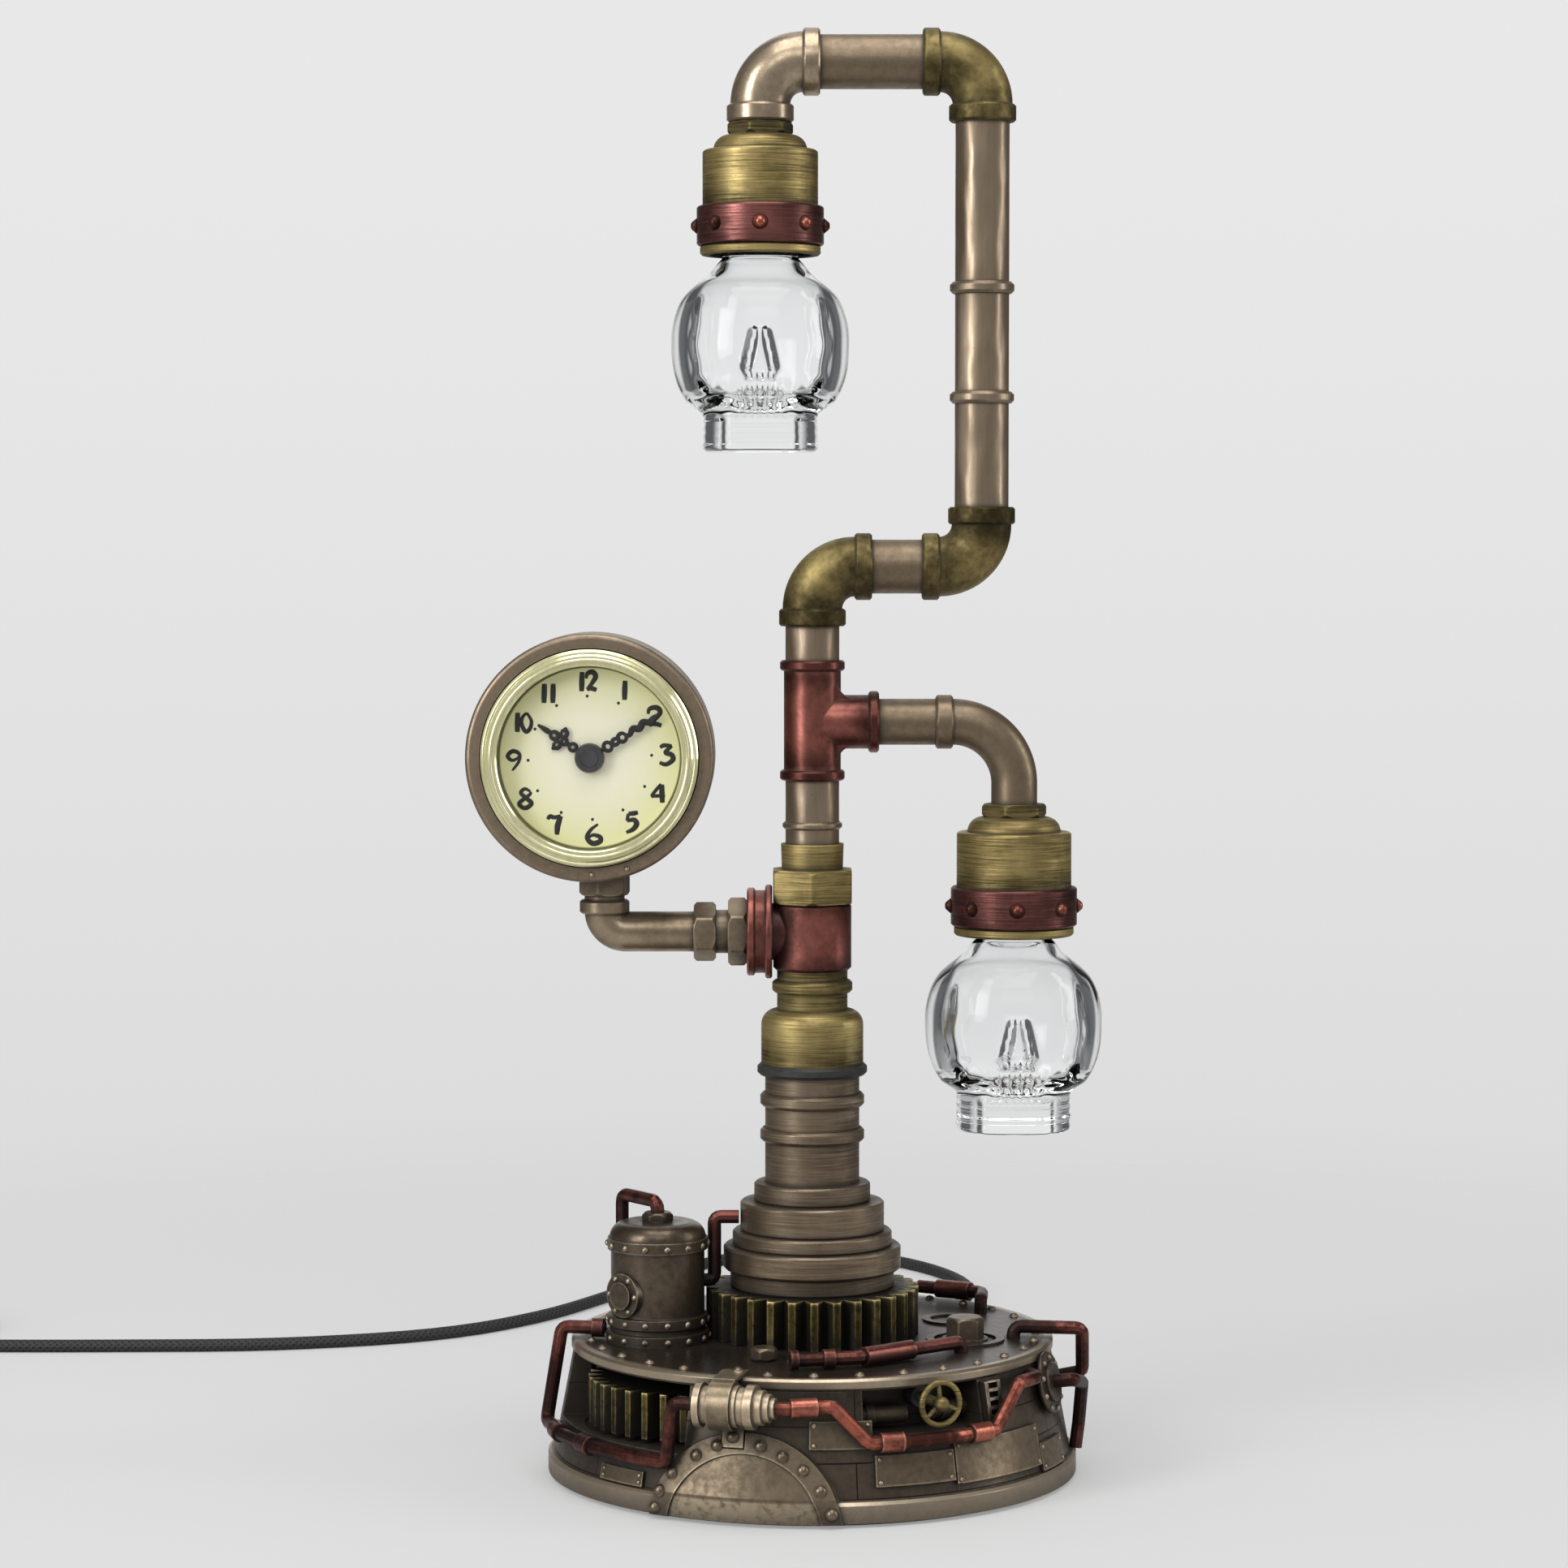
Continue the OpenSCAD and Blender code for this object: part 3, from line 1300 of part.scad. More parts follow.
module cord_gland() {
    root = wall_at(gland_z);
    color("black") difference() {
        union() {
            translate([0, 0, gland_z]) rotate([-90, 0, 0]) {
                translate([0, 0, cavity_r - 6]) cylinder(h = 5, r = gland_r + 2);
                translate([0, 0, cavity_r - 6]) cylinder(h = root - cavity_r + 6, r = gland_r);
                translate([0, 0, root]) cylinder(h = relief_l + 2, r1 = gland_r, r2 = cord_r + 1);
            }
            difference() {
                translate([0, root - 4, gland_z]) rotate([-90, 0, 0]) cylinder(h = 6, r = gland_flange_r);
                envelope(fit);
            }
        }
        translate([0, cavity_r - 7, gland_z]) rotate([-90, 0, 0])
            cylinder(h = root - cavity_r + 5, r = cord_r + 0.2);
    }
}

module mains_cord() {
    color("#161616") swept_tube(smooth(cord_route, 5), cord_r, 8);
}

// Coil: turns run inwards on the table, climb where the spiral reverses, and run out on top
coil_steps = 24;
function coil_turn(i) = i / coil_steps - layer_turns;
function coil_point(t) =
    let (r = coil_in_r + coil_pitch * abs(t), a = -90 - 360 * (t + layer_turns))
    [coil_at.x + r * cos(a), coil_at.y + r * sin(a), cord_r + coil_pitch * min(max(2 * t + 0.5, 0), 1)];
coil_count = round(2 * layer_turns * coil_steps);
coil_turns = [for (i = [0:coil_count]) coil_point(coil_turn(i))];
tail_dir = unit(coil_turns[coil_count] - coil_turns[coil_count - 1]);
coil_end = coil_turns[coil_count] + tail_l * tail_dir;
coil_path = concat([coil_start], coil_turns, [coil_end - cord_d * tail_dir, coil_end]);
coil_gap = min([
    for (i = [0:2:coil_count], j = [i + coil_steps / 2:coil_count]) norm(coil_turns[i] - coil_turns[j])
]) - cord_d;
echo(least_gap_in_coil = coil_gap);

module cord_coil() {
    color("#161616") swept_tube(coil_path, cord_r, 6);
}

// Two-pin plug, flat on the table
module plug() {
    neck = cord_r + 2.2;
    half = plug_w / 2;
    pin_gap = 19;
    color("#1b1b1b") translate([coil_end.x, coil_end.y, 0]) rotate(atan2(tail_dir.y, tail_dir.x)) {
        linear_extrude(2 * coil_end.z) polygon([
            [0, -neck], [6, -neck - 1], [16, -half], [plug_l, -half],
            [plug_l, half], [16, half], [6, neck + 1], [0, neck]
        ]);
        for (side = [-1, 1]) translate([plug_l - over, side * pin_gap / 2, coil_end.z]) rotate([0, 90, 0])
            cylinder(h = pin_l + over, r = pin_r);
    }
}

felt_pad();
bottom_cover();
ballast_plate();
led_driver();
base_shell();
deck_plate();
arch_plate();
wall_panels();
side_gear();
top_gear();
canister();
canister_strap();
front_pipe();
left_pipe();
side_hatch();
side_pipes();
boiler_body();
boiler_lid();
boiler_hatch();
boiler_pipes();
deck_bolts();
deck_pipes();
valve_pipes();
ladder_bracket();
rotary_switch();
hand_wheel();
column_foot();
column_tube();
seal_ring();
bell_coupling();
lower_tee();
brass_nut();
column_nipples();
upper_tee();
brass_elbows();
cross_pipes();
riser_pipe();
crown_elbow();
branch_elbow();
upper_cup();
lower_cup();
copper_bands();
shade_galleries();
led_lamps();
upper_shade();
lower_shade();
arm_unions();
arm_pipe();
clock_drum();
clock_movement();
clock_bezel();
clock_dial();
clock_lens();
hour_hand();
minute_hand();
setting_knob();
cord_gland();
mains_cord();
cord_coil();
plug();
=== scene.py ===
# %% [markdown]
# # Pipe desk lamp with a clock
# This lesson dresses a finished CAD model in Blender. The model brings every pipe, cup and gear at
# its true size and place, so this file adds what a modeller does: the rivets, the moulded
# glass, the printed dial, the cord and the aged metal finishes.

# %% Load the model
from math import atan2, copysign, cos, degrees, exp, pi, radians, sin

import bmesh
import bpy
from mathutils import Matrix, Vector
from mathutils.bvhtree import BVHTree


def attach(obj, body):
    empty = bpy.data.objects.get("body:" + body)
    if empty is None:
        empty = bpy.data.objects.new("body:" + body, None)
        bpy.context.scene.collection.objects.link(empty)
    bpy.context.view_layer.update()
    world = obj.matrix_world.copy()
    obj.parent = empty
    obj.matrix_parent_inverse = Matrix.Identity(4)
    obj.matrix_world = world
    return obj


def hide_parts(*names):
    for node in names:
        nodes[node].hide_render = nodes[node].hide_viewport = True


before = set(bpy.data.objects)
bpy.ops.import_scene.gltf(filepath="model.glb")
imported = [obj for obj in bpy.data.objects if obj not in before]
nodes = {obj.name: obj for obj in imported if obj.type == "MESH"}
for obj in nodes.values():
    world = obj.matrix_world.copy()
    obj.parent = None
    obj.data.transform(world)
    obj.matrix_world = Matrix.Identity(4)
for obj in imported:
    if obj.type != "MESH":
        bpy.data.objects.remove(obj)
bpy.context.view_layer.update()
MM = 0.001

# %% [markdown]
# ## Camera
# The lamp was photographed with a long lens from a little above the table, so verticals stay
# nearly parallel. A perspective camera 1.3 m away with a 96 mm lens gives the same flat look.
# An orthographic camera would lose the small change of size from the base to the top.

# %% Camera


def show(thing):
    bpy.context.scene.collection.objects.link(thing)


lens = bpy.data.cameras.new("lamp_camera")
lens.lens, lens.sensor_width = 95.96, 36.0
camera = bpy.data.objects.new("lamp_camera", lens)
camera.location = (-8.75 * MM, -1288 * MM, 286.8 * MM)
TILT_DOWN = 3.267
camera.rotation_euler = (radians(90 - TILT_DOWN), 0, 0)
show(camera)
bpy.context.scene.camera = camera

# %% [markdown]
# ## Shader maths
# A finish is a small sum: how dark is this hollow, how worn is this edge, how far has the brush
# streaked here. Blender writes such sums as Math nodes. Wrapping a socket in a class that knows
# plus, minus and times lets the sums read as plain Python, which is far easier to change.

# %% A socket that does maths
class Wire:
    """A node's output socket. Maths on wires adds Math nodes to the same material."""

    def __init__(self, tree, socket=None):
        self.tree, self.socket = tree, socket

    def node(self, kind, settings=None, sockets=None, out=0):
        made = self.tree.nodes.new(kind)
        for name, value in (settings or {}).items():
            setattr(made, name, value)
        for key, value in (sockets or {}).items():
            if isinstance(value, Wire):
                self.tree.links.new(value.socket, made.inputs[key])
            else:
                made.inputs[key].default_value = value
        return Wire(self.tree, made.outputs[out])

    def maths(self, operation, first, second=0.0, clamp=False):
        settings = {"operation": operation, "use_clamp": clamp}
        return self.node("ShaderNodeMath", settings, {0: first, 1: second})

    def __add__(self, other):
        return self.maths("ADD", self, other)

    def __sub__(self, other):
        return self.maths("SUBTRACT", self, other)

    def __rsub__(self, other):
        return self.maths("SUBTRACT", other, self)

    def __mul__(self, other):
        return self.maths("MULTIPLY", self, other)

    __radd__, __rmul__ = __add__, __mul__

    def ramp(self, low, high):
        sockets = {"Value": self, "From Min": low, "From Max": high}
        return self.node("ShaderNodeMapRange", {"interpolation_type": "SMOOTHSTEP"}, sockets)

    def between(self, low, high):
        return self.node("ShaderNodeMix", {"data_type": "RGBA"}, {0: self, 6: low, 7: high}, 2)

    def over(self, other):
        return self.maths("MAXIMUM", self, other)

    def axis(self, name):
        return self.node("ShaderNodeSeparateXYZ", None, {0: self}, name)

    def length(self):
        return self.node("ShaderNodeVectorMath", {"operation": "LENGTH"}, {0: self}, "Value")


def rgb(red, green, blue):
    return (red, green, blue, 1.0)


def new_finish(name):
    """A material with an empty Principled shader, and a wire to start sums from."""
    made = bpy.data.materials.new(name)
    made.use_nodes = True
    return made, made.node_tree.nodes["Principled BSDF"], Wire(made.node_tree)


def feed(wire, shader, name):
    wire.tree.links.new(wire.socket, shader.inputs[name])


def plain(shader, **values):
    for name, value in values.items():
        shader.inputs[name.replace("_", " ").title()].default_value = value


def emboss(height, shader, strength, deep, **sockets):
    """Bumps a finish. A height of 1 stands for a depth in millimetres."""
    sockets |= {"Height": height, "Strength": strength, "Distance": deep * MM}
    feed(height.node("ShaderNodeBump", None, sockets), shader, "Normal")


def place_on(start):
    """Where a point lies in its object's own space, in metres."""
    return start.node("ShaderNodeTexCoord", out="Object")


def object_noise(start, scale, detail=4.0, roughness=0.55):
    """Noise in the object's own space. Scale is in waves per metre along X, Y and Z."""
    spread = start.node("ShaderNodeMapping", None, {"Vector": place_on(start), "Scale": scale})
    sockets = {"Vector": spread, "Scale": 1.0, "Detail": detail, "Roughness": roughness}
    return start.node("ShaderNodeTexNoise", None, sockets, "Fac")


# %% [markdown]
# ## Cord
# A cord is a fixed length of something limp. It leaves the back of the base through its strain
# relief, drops to the table, swings out to the right, comes back behind the base and runs off to
# the left, where the spare length lies in a flat coil of two layers. A curve object would do, but a
# tube made ring by ring can also carry how far along and how far round each point is, and the
# braid needs both.

# %% Route of the cord
CORD_R = 2.25
COIL_AT, COIL_IN_R, COIL_PITCH, LAYER_TURNS = (-336, 220), 18, 5, 3.1
COIL_STEPS, ROUTE_STEPS, TAIL = 24, 5, 48
COIL_OUT_R = COIL_IN_R + COIL_PITCH * LAYER_TURNS
coil_start = Vector((COIL_AT[0] + 2 * CORD_R, COIL_AT[1] - COIL_OUT_R, CORD_R))
GLAND_END, GLAND_Z = 106.758, 14
cord_route = [Vector(p) for p in [
    (0, GLAND_END, GLAND_Z), (0, GLAND_END + 6, GLAND_Z), (0, GLAND_END + 14, GLAND_Z - 1),
    (8, 160, CORD_R + 1), (28, 210, CORD_R), (52, 255, CORD_R), (62, 300, CORD_R),
    (50, 342, CORD_R), (22, 375, CORD_R), (-14, 380, CORD_R), (-45, 350, CORD_R),
    (-72, 292, CORD_R), (-100, 242, CORD_R), (-136, 208, CORD_R), (-190, 190, CORD_R),
    (-250, coil_start.y, CORD_R), (-300, coil_start.y, CORD_R), coil_start,
]]


def smooth_route(points, steps):
    """A Catmull-Rom curve through the points."""
    line, last = [], len(points) - 1
    for i in range(last):
        a, b, c, d = (points[max(min(i + k, last), 0)] for k in (-1, 0, 1, 2))
        for k in range(steps):
            t = k / steps
            line.append(0.5 * (2 * b + (c - a) * t + (2 * a - 5 * b + 4 * c - d) * t * t
                               + (3 * b - a - 3 * c + d) * t ** 3))
    return line + [points[last]]


def coil_turns():
    """The coil's turns run inwards on the table, climb, and run out again on top."""
    turns = []
    for i in range(round(2 * LAYER_TURNS * COIL_STEPS) + 1):
        t = i / COIL_STEPS - LAYER_TURNS
        r, a = COIL_IN_R + COIL_PITCH * abs(t), radians(-90 - 360 * (t + LAYER_TURNS))
        x, y = COIL_AT[0] + r * cos(a), COIL_AT[1] + r * sin(a)
        turns.append(Vector((x, y, CORD_R + COIL_PITCH * min(max(2 * t + 0.5, 0), 1))))
    return turns


turns = coil_turns()
tail_dir = (turns[-1] - turns[-2]).normalized()
tail = [turns[-1] + tail_dir * reach for reach in (TAIL / 2, TAIL - 2 * CORD_R, TAIL)]
cord_line = [p * MM for p in smooth_route(cord_route, ROUTE_STEPS) + turns + tail]
cord_length = sum((b - a).length for a, b in zip(cord_line, cord_line[1:]))
print("cord:", round(cord_length, 3), "m in", len(cord_line), "rings")

# %% [markdown]
# The tube starts as one circle. Each step extrudes the ring and turns it just enough to face the
# next stretch, so the braid doesn't twist where the route bends.

# %% Sweep the cord


def ring_frames(line):
    """A matrix at each point of a line, with Z along the line and as little twist as can be."""
    frames, side = [], None
    for i, point in enumerate(line):
        ahead = (line[min(i + 1, len(line) - 1)] - line[max(i - 1, 0)]).normalized()
        side = ahead.orthogonal() if side is None else side
        side = (side - side.dot(ahead) * ahead).normalized()
        up = ahead.cross(side)
        frames.append(Matrix((
            (side.x, up.x, ahead.x, point.x), (side.y, up.y, ahead.y, point.y),
            (side.z, up.z, ahead.z, point.z), (0, 0, 0, 1))))
    return frames


def sweep(line, radii, sides):
    """A closed tube along a line. Its vertices go ring by ring, and each ring has a radius."""
    frames = ring_frames(line)
    made = bmesh.new()
    bmesh.ops.create_circle(made, segments=sides, radius=radii[0], matrix=frames[0])
    edges = made.edges[:]
    bmesh.ops.contextual_create(made, geom=edges)
    for i in range(1, len(line)):
        grown = bmesh.ops.extrude_edge_only(made, edges=edges)["geom"]
        ring = [g for g in grown if isinstance(g, bmesh.types.BMVert)]
        edges = [g for g in grown if isinstance(g, bmesh.types.BMEdge)]
        bmesh.ops.transform(made, matrix=frames[i] @ frames[i - 1].inverted(), verts=ring)
        growth = radii[i] / radii[i - 1]
        bmesh.ops.scale(made, vec=(growth,) * 3, space=Matrix.Translation(-line[i]), verts=ring)
    bmesh.ops.contextual_create(made, geom=edges)
    bmesh.ops.recalc_face_normals(made, faces=made.faces)
    return made


def mesh_of(made, name):
    """Turns a bmesh into a mesh and frees it."""
    mesh = bpy.data.meshes.new(name)
    made.to_mesh(mesh)
    made.free()
    return mesh


def keep(made, name, finish, body, smooth=True):
    """Turns a bmesh into a finished piece that rides on a body."""
    mesh = mesh_of(made, name)
    for face in mesh.polygons:
        face.use_smooth = smooth
    piece = bpy.data.objects.new(name, mesh)
    show(piece)
    mesh.materials.append(finish)
    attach(piece, body)
    return piece


# %% [markdown]
# The braid is two sets of threads that wind round the cord in opposite ways. Each set is a sine
# wave in the angle round the cord plus the distance along it, and the higher set shows. The angle
# is stored as a sine and a cosine, so it has no seam.

# %% Braided cord
CORD_SIDES, BRAID_THREADS, BRAID_LAY = 16, 6, 2600.0
braid, shader, start = new_finish("cord_braid")
along, turn_sin, turn_cos = (
    start.node("ShaderNodeAttribute", {"attribute_name": name}, out="Fac")
    for name in ("cord_along", "cord_sin", "cord_cos"))
angle = start.maths("ARCTAN2", turn_sin, turn_cos) * BRAID_THREADS
left_lay = start.maths("SINE", angle + along * BRAID_LAY)
right_lay = start.maths("SINE", angle - along * BRAID_LAY)
weave = left_lay.over(right_lay) * 0.5 + 0.5
gap_black, thread_black = rgb(0.004, 0.004, 0.004), rgb(0.022, 0.022, 0.023)
feed(weave.ramp(0.35, 1.0).between(gap_black, thread_black), shader, "Base Color")
emboss(weave, shader, 0.8, 0.3)
plain(shader, roughness=0.62)

tube = sweep(cord_line, [CORD_R * MM] * len(cord_line), CORD_SIDES)
cord = keep(tube, "braided_cord", braid, "stand")
far = 0.0
values = {"cord_along": [], "cord_sin": [], "cord_cos": []}
for i, point in enumerate(cord_line):
    far += (point - cord_line[i - 1]).length if i else 0.0
    for k in range(CORD_SIDES):
        values["cord_along"].append(far)
        values["cord_sin"].append(sin(2 * pi * k / CORD_SIDES))
        values["cord_cos"].append(cos(2 * pi * k / CORD_SIDES))
for name, column in values.items():
    cord.data.attributes.new(name, "FLOAT", "POINT").data.foreach_set("value", column)
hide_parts("mains_cord", "cord_coil")

# %% [markdown]
# A soft tie goes twice round all the turns of the coil, on the side away from the plug, where no
# turn climbs. It follows a rounded square round the bundle and is flattened against the table.

# %% Tie of the coil
TIE_R, TIE_AZ, TIE_TURNS, TIE_GAP = 0.6, radians(54), 2, 1.6
TIE_STEPS, TIE_SIDES = 28, 10
BUNDLE_R, BUNDLE_Z = COIL_IN_R + 1.5 * COIL_PITCH, CORD_R + COIL_PITCH / 2
BUNDLE_WIDE, BUNDLE_HIGH = COIL_PITCH + CORD_R + TIE_R, COIL_PITCH / 2 + CORD_R + TIE_R
outward = Vector((cos(TIE_AZ), sin(TIE_AZ), 0))
sideways = Vector((-outward.y, outward.x, 0))


def squared(t):
    """A sine that stays near its limits, which rounds a circle into a soft square."""
    return copysign(abs(sin(t)) ** 0.5, sin(t))


tie_line = []
for k in range(TIE_TURNS * TIE_STEPS + 1):
    t = 2 * pi * k / TIE_STEPS
    out = BUNDLE_R + BUNDLE_WIDE * squared(t + pi / 2)
    flat = outward * out + sideways * (TIE_GAP * k / TIE_STEPS)
    up = max(BUNDLE_Z + BUNDLE_HIGH * squared(t), TIE_R)
    tie_line.append(Vector((COIL_AT[0] + flat.x, COIL_AT[1] + flat.y, up)) * MM)
tie_rubber, shader, start = new_finish("tie_rubber")
drift = object_noise(start, (300, 300, 300))
tie_colour = drift.ramp(0.3, 0.7).between(rgb(0.010, 0.010, 0.010), rgb(0.03, 0.03, 0.03))
feed(tie_colour, shader, "Base Color")
plain(shader, roughness=0.5)
tie_tube = sweep(tie_line, [TIE_R * MM] * len(tie_line), TIE_SIDES)
tie = keep(tie_tube, "cord_tie", tie_rubber, "stand")
print("tie:", len(tie.data.polygons), "faces")

# %% [markdown]
# ## Aged metal
# Every metal on the lamp has the same life: a cast or drawn surface, a dark wash that stays in the
# hollows, and a dry brush that brightens whatever stands proud. Ambient occlusion finds the hollows,
# so their dark is partly that wash and partly painted shade, which also falls on metal beside other
# parts and near the floor.
# The same node turned inwards finds sharp edges, because rays inside the metal soon meet the next
# face there. A stretched noise lays the brush strokes, and a slow one dents a hand-drawn pipe. Where
# two fittings were heated together the metal is burnt dark, so a joint is a point and two distances.
# A few such spots are painted shade instead: under the deck and on the red tee's right side. One
# recipe with other colours then gives bronze, brass, copper and the dark castings.

# %% Recipe for aged metal


def near_point(start, centre, near, far):
    """1 inside a distance from a point, fading to 0 at a farther one. All are in millimetres."""
    ends = {0: place_on(start), 1: tuple(c * MM for c in centre)}
    away = start.node("ShaderNodeVectorMath", {"operation": "DISTANCE"}, ends, "Value")
    return 1 - away.ramp(near * MM, far * MM)


def aged_metal(name, wash, body, worn, strokes, smooth=0.22, rough=0.5, edges=0.8, reach=0.9,
               wash_and_shade_strength=0.9, hollow=12.0, brush=0.5, contrast=(0.2, 0.8), grit=1.0, dents=0.0,
               bright=None, seams=None, joints=()):
    """Finish of a metal that was washed dark and dry-brushed.

    Wash, body and worn are its colours where the wash stayed, on plain faces and on edges. Strokes
    are waves per metre, and reach and hollow are how far edges and the wash with its painted shade
    spread, in millimetres.
    """
    black = rgb(*(0.22 * c for c in wash))
    wash, body, worn = rgb(*wash), rgb(*body), rgb(*worn)
    made, shader, start = new_finish(name)
    cloud = object_noise(start, (42, 42, 42), 5.0, 0.6)
    stroke = object_noise(start, strokes, 3.0, 0.6)
    grain = object_noise(start, (1400, 1400, 1400), 2.0)
    tone = (cloud * (1 - brush) + stroke * brush).ramp(*contrast)
    outside, inside = {"samples": 6}, {"samples": 6, "inside": True, "only_local": True}
    open_out = start.node("ShaderNodeAmbientOcclusion", outside, {"Distance": hollow * MM}, "AO")
    open_in = start.node("ShaderNodeAmbientOcclusion", inside, {"Distance": reach * MM}, "AO")
    # Painted shade as well as the dark wash: ambient occlusion darkens hollows, and metal beside
    # other parts and the floor.
    wash_and_shade = (1 - open_out).ramp(0.05, 0.5)
    proud = (1 - open_in).ramp(0.2, 0.6) * stroke.ramp(0.2, 0.55)
    colour = tone.between(wash, body)
    if bright:
        colour = (bright(start) * (tone * 0.25 + 0.7)).between(colour, worn)
    burns_and_shade = grain.ramp(0.68, 0.74) * 0.45
    # Burnt joints, and spots of painted shade where shade falls under the deck and beside the tee.
    for x, y, z, near, far in joints:
        burns_and_shade = burns_and_shade.over(near_point(start, (x, y, z), near, far) * (0.94 - tone * 0.4))
    colour = (proud * edges * (1 - burns_and_shade * 0.6)).between(colour, worn)
    gap = seams(start) if seams else 0.0
    dirt_and_shade = (wash_and_shade * wash_and_shade_strength).over(gap).over(burns_and_shade)
    feed(dirt_and_shade.between(colour, black), shader, "Base Color")
    feed((0.9 - wash_and_shade * 0.5).over(0.2), shader, "Metallic")
    feed(rough - tone * (rough - smooth) + wash_and_shade * 0.2 + grain * 0.06, shader, "Roughness")
    dented = object_noise(start, (60, 60, 28), 2.0) * dents
    height = (stroke * 0.06 + grain * 0.045 + cloud * 0.05) * grit + dented - gap
    soft = start.node("ShaderNodeBevel", {"samples": 4}, {"Radius": 0.45 * MM})
    emboss(height, shader, 1.0, 0.5, Normal=soft)
    return made


# %% [markdown]
# Two places are lighter: the foot ring under the wall and the rim of the deck. The wall
# between them is dressed in plates, whose seams run like bricks round it. Each is a mask measured
# in the model's own millimetres, so it needs no painted picture.

# %% Rubbed places and seams
FOOT_TOP, WALL_R, RIM_IN_R, RIM_OUT_R = 7.9, 78, 71.4, 72.2
PLATE_WIDE, PLATE_HIGH, PLATE_GAP = 31, 10.4, 0.22


def foot_ring(start):
    return 1 - place_on(start).axis("Z").ramp((FOOT_TOP - 0.6) * MM, FOOT_TOP * MM)


def plate_seams(start):
    """1 along the gaps between the plates that the wall is dressed with, above the foot ring."""
    x, y, z = (place_on(start).axis(name) for name in "XYZ")
    round_wall = start.maths("ARCTAN2", x, y) * (WALL_R * MM)
    flat = start.node("ShaderNodeCombineXYZ", None, {0: round_wall, 1: z - FOOT_TOP * MM})
    plates = {"Vector": flat, "Scale": 1.0, "Mortar Size": PLATE_GAP * MM, "Mortar Smooth": 0.3,
              "Brick Width": PLATE_WIDE * MM, "Row Height": PLATE_HIGH * MM}
    return start.node("ShaderNodeTexBrick", None, plates, "Fac") * (1 - foot_ring(start))


def deck_rim(start):
    sockets = {0: place_on(start), 1: (1, 1, 0)}
    flat = start.node("ShaderNodeVectorMath", {"operation": "MULTIPLY"}, sockets)
    return flat.length().ramp(RIM_IN_R * MM, RIM_OUT_R * MM)


# %% [markdown]
# Brush strokes run round the turned pieces, along the drawn pipes, or every way on castings and
# elbows. The bronzes differ most in how much of the dark wash was rubbed off them.

# %% Bronzes
ROUND_UPRIGHT, ALONG_UPRIGHT, CAST = (60, 60, 2200), (500, 500, 45), (420, 420, 420)
STREAKY = (0.36, 0.66)
bronze = aged_metal(
    "bronze", (0.21, 0.16, 0.11), (0.38, 0.30, 0.215), (0.60, 0.50, 0.36), ALONG_UPRIGHT,
    smooth=0.24, rough=0.42, dents=4.0)
polished_bronze = aged_metal(
    "polished_bronze", (0.22, 0.17, 0.115), (0.54, 0.43, 0.305), (0.70, 0.58, 0.42), CAST,
    smooth=0.2, rough=0.32, grit=0.15, dents=1.0)
bright_bronze = aged_metal(
    "bright_bronze", (0.34, 0.27, 0.185), (0.70, 0.56, 0.40), (0.80, 0.67, 0.50), CAST, rough=0.34,
    grit=0.3)
worn_bronze = aged_metal(
    "worn_bronze", (0.10, 0.075, 0.05), (0.43, 0.342, 0.232), (0.66, 0.55, 0.38), CAST, rough=0.4,
    brush=0.12, contrast=(0.3, 0.7), hollow=16.0)
ring_bronze = aged_metal(
    "ring_bronze", (0.18, 0.138, 0.096), (0.34, 0.265, 0.188), (0.56, 0.46, 0.33), CAST, smooth=0.3,
    dents=0.4)
satin_bronze = aged_metal(
    "satin_bronze", (0.15, 0.114, 0.076), (0.26, 0.20, 0.135), (0.5, 0.41, 0.29), CAST, smooth=0.3,
    dents=0.4)
dark_bronze = aged_metal(
    "dark_bronze", (0.11, 0.082, 0.054), (0.28, 0.217, 0.15), (0.54, 0.44, 0.31), ROUND_UPRIGHT,
    smooth=0.28, rough=0.46, contrast=STREAKY)
print("finishes so far:", len(bpy.data.materials))

# %% [markdown]
# Brass and copper were heated at their joints. Each joint is a point in millimetres, with the
# distance to which it is burnt and the one where that has faded. The last two copper spots are
# painted shade on the tee's right side, in the crease by its branch.

# %% Brass and copper
BRASS_JOINTS = [
    (35, 0, 436, 14, 26), (52, 0, 417, 10, 18), (52, 0, 297, 10, 17), (35, 0, 280.3, 10, 19),
    (17, 0, 280.3, 10, 19), (0, 0, 263, 10, 18), (-16, 0, 414, 9, 16), (-16, 0, 388, 17.5, 20),
    (62.3, 0, 206, 9, 16), (62.3, 0, 179, 17.5, 20), (0, 0, 152, 9, 18), (0, 0, 126, 15.5, 19),
]
COPPER_JOINTS_AND_SHADE = [
    (0, 0, 251, 9, 15), (0, 0, 215, 9, 15), (20, 0, 233, 8, 14), (0, 0, 183, 12, 16),
    # The last two spots are painted shade on the tee's right side, by its branch.
    (0, 0, 152, 12, 16), (-12, 0, 167.6, 12, 17), (10, -4, 241, 3, 9), (10, -4, 225, 3, 9),
]
PIPE_JOINTS = [(-10, -80, 35.6, 2, 9), (68, -38, 38, 3, 14)]
BAND_JOINTS = [
    # The last two spots darken the right side of each band.
    (-16, 0, 377.5, 18.5, 21), (62.3, 0, 168.6, 18.5, 21), (0, 0, 384, 14, 26), (78, 0, 175, 12, 24),
]
brass_look = {"wash": (0.10, 0.076, 0.028), "body": (0.51, 0.395, 0.16), "worn": (0.72, 0.59, 0.28),
              "smooth": 0.38, "rough": 0.54, "hollow": 16.0, "joints": BRASS_JOINTS}
old_brass = aged_metal(
    "old_brass", strokes=ROUND_UPRIGHT, brush=0.45, contrast=(0.33, 0.67), **brass_look)
elbow_brass = aged_metal(
    "elbow_brass", strokes=CAST, brush=0.3, contrast=(0.27, 0.73), **brass_look)
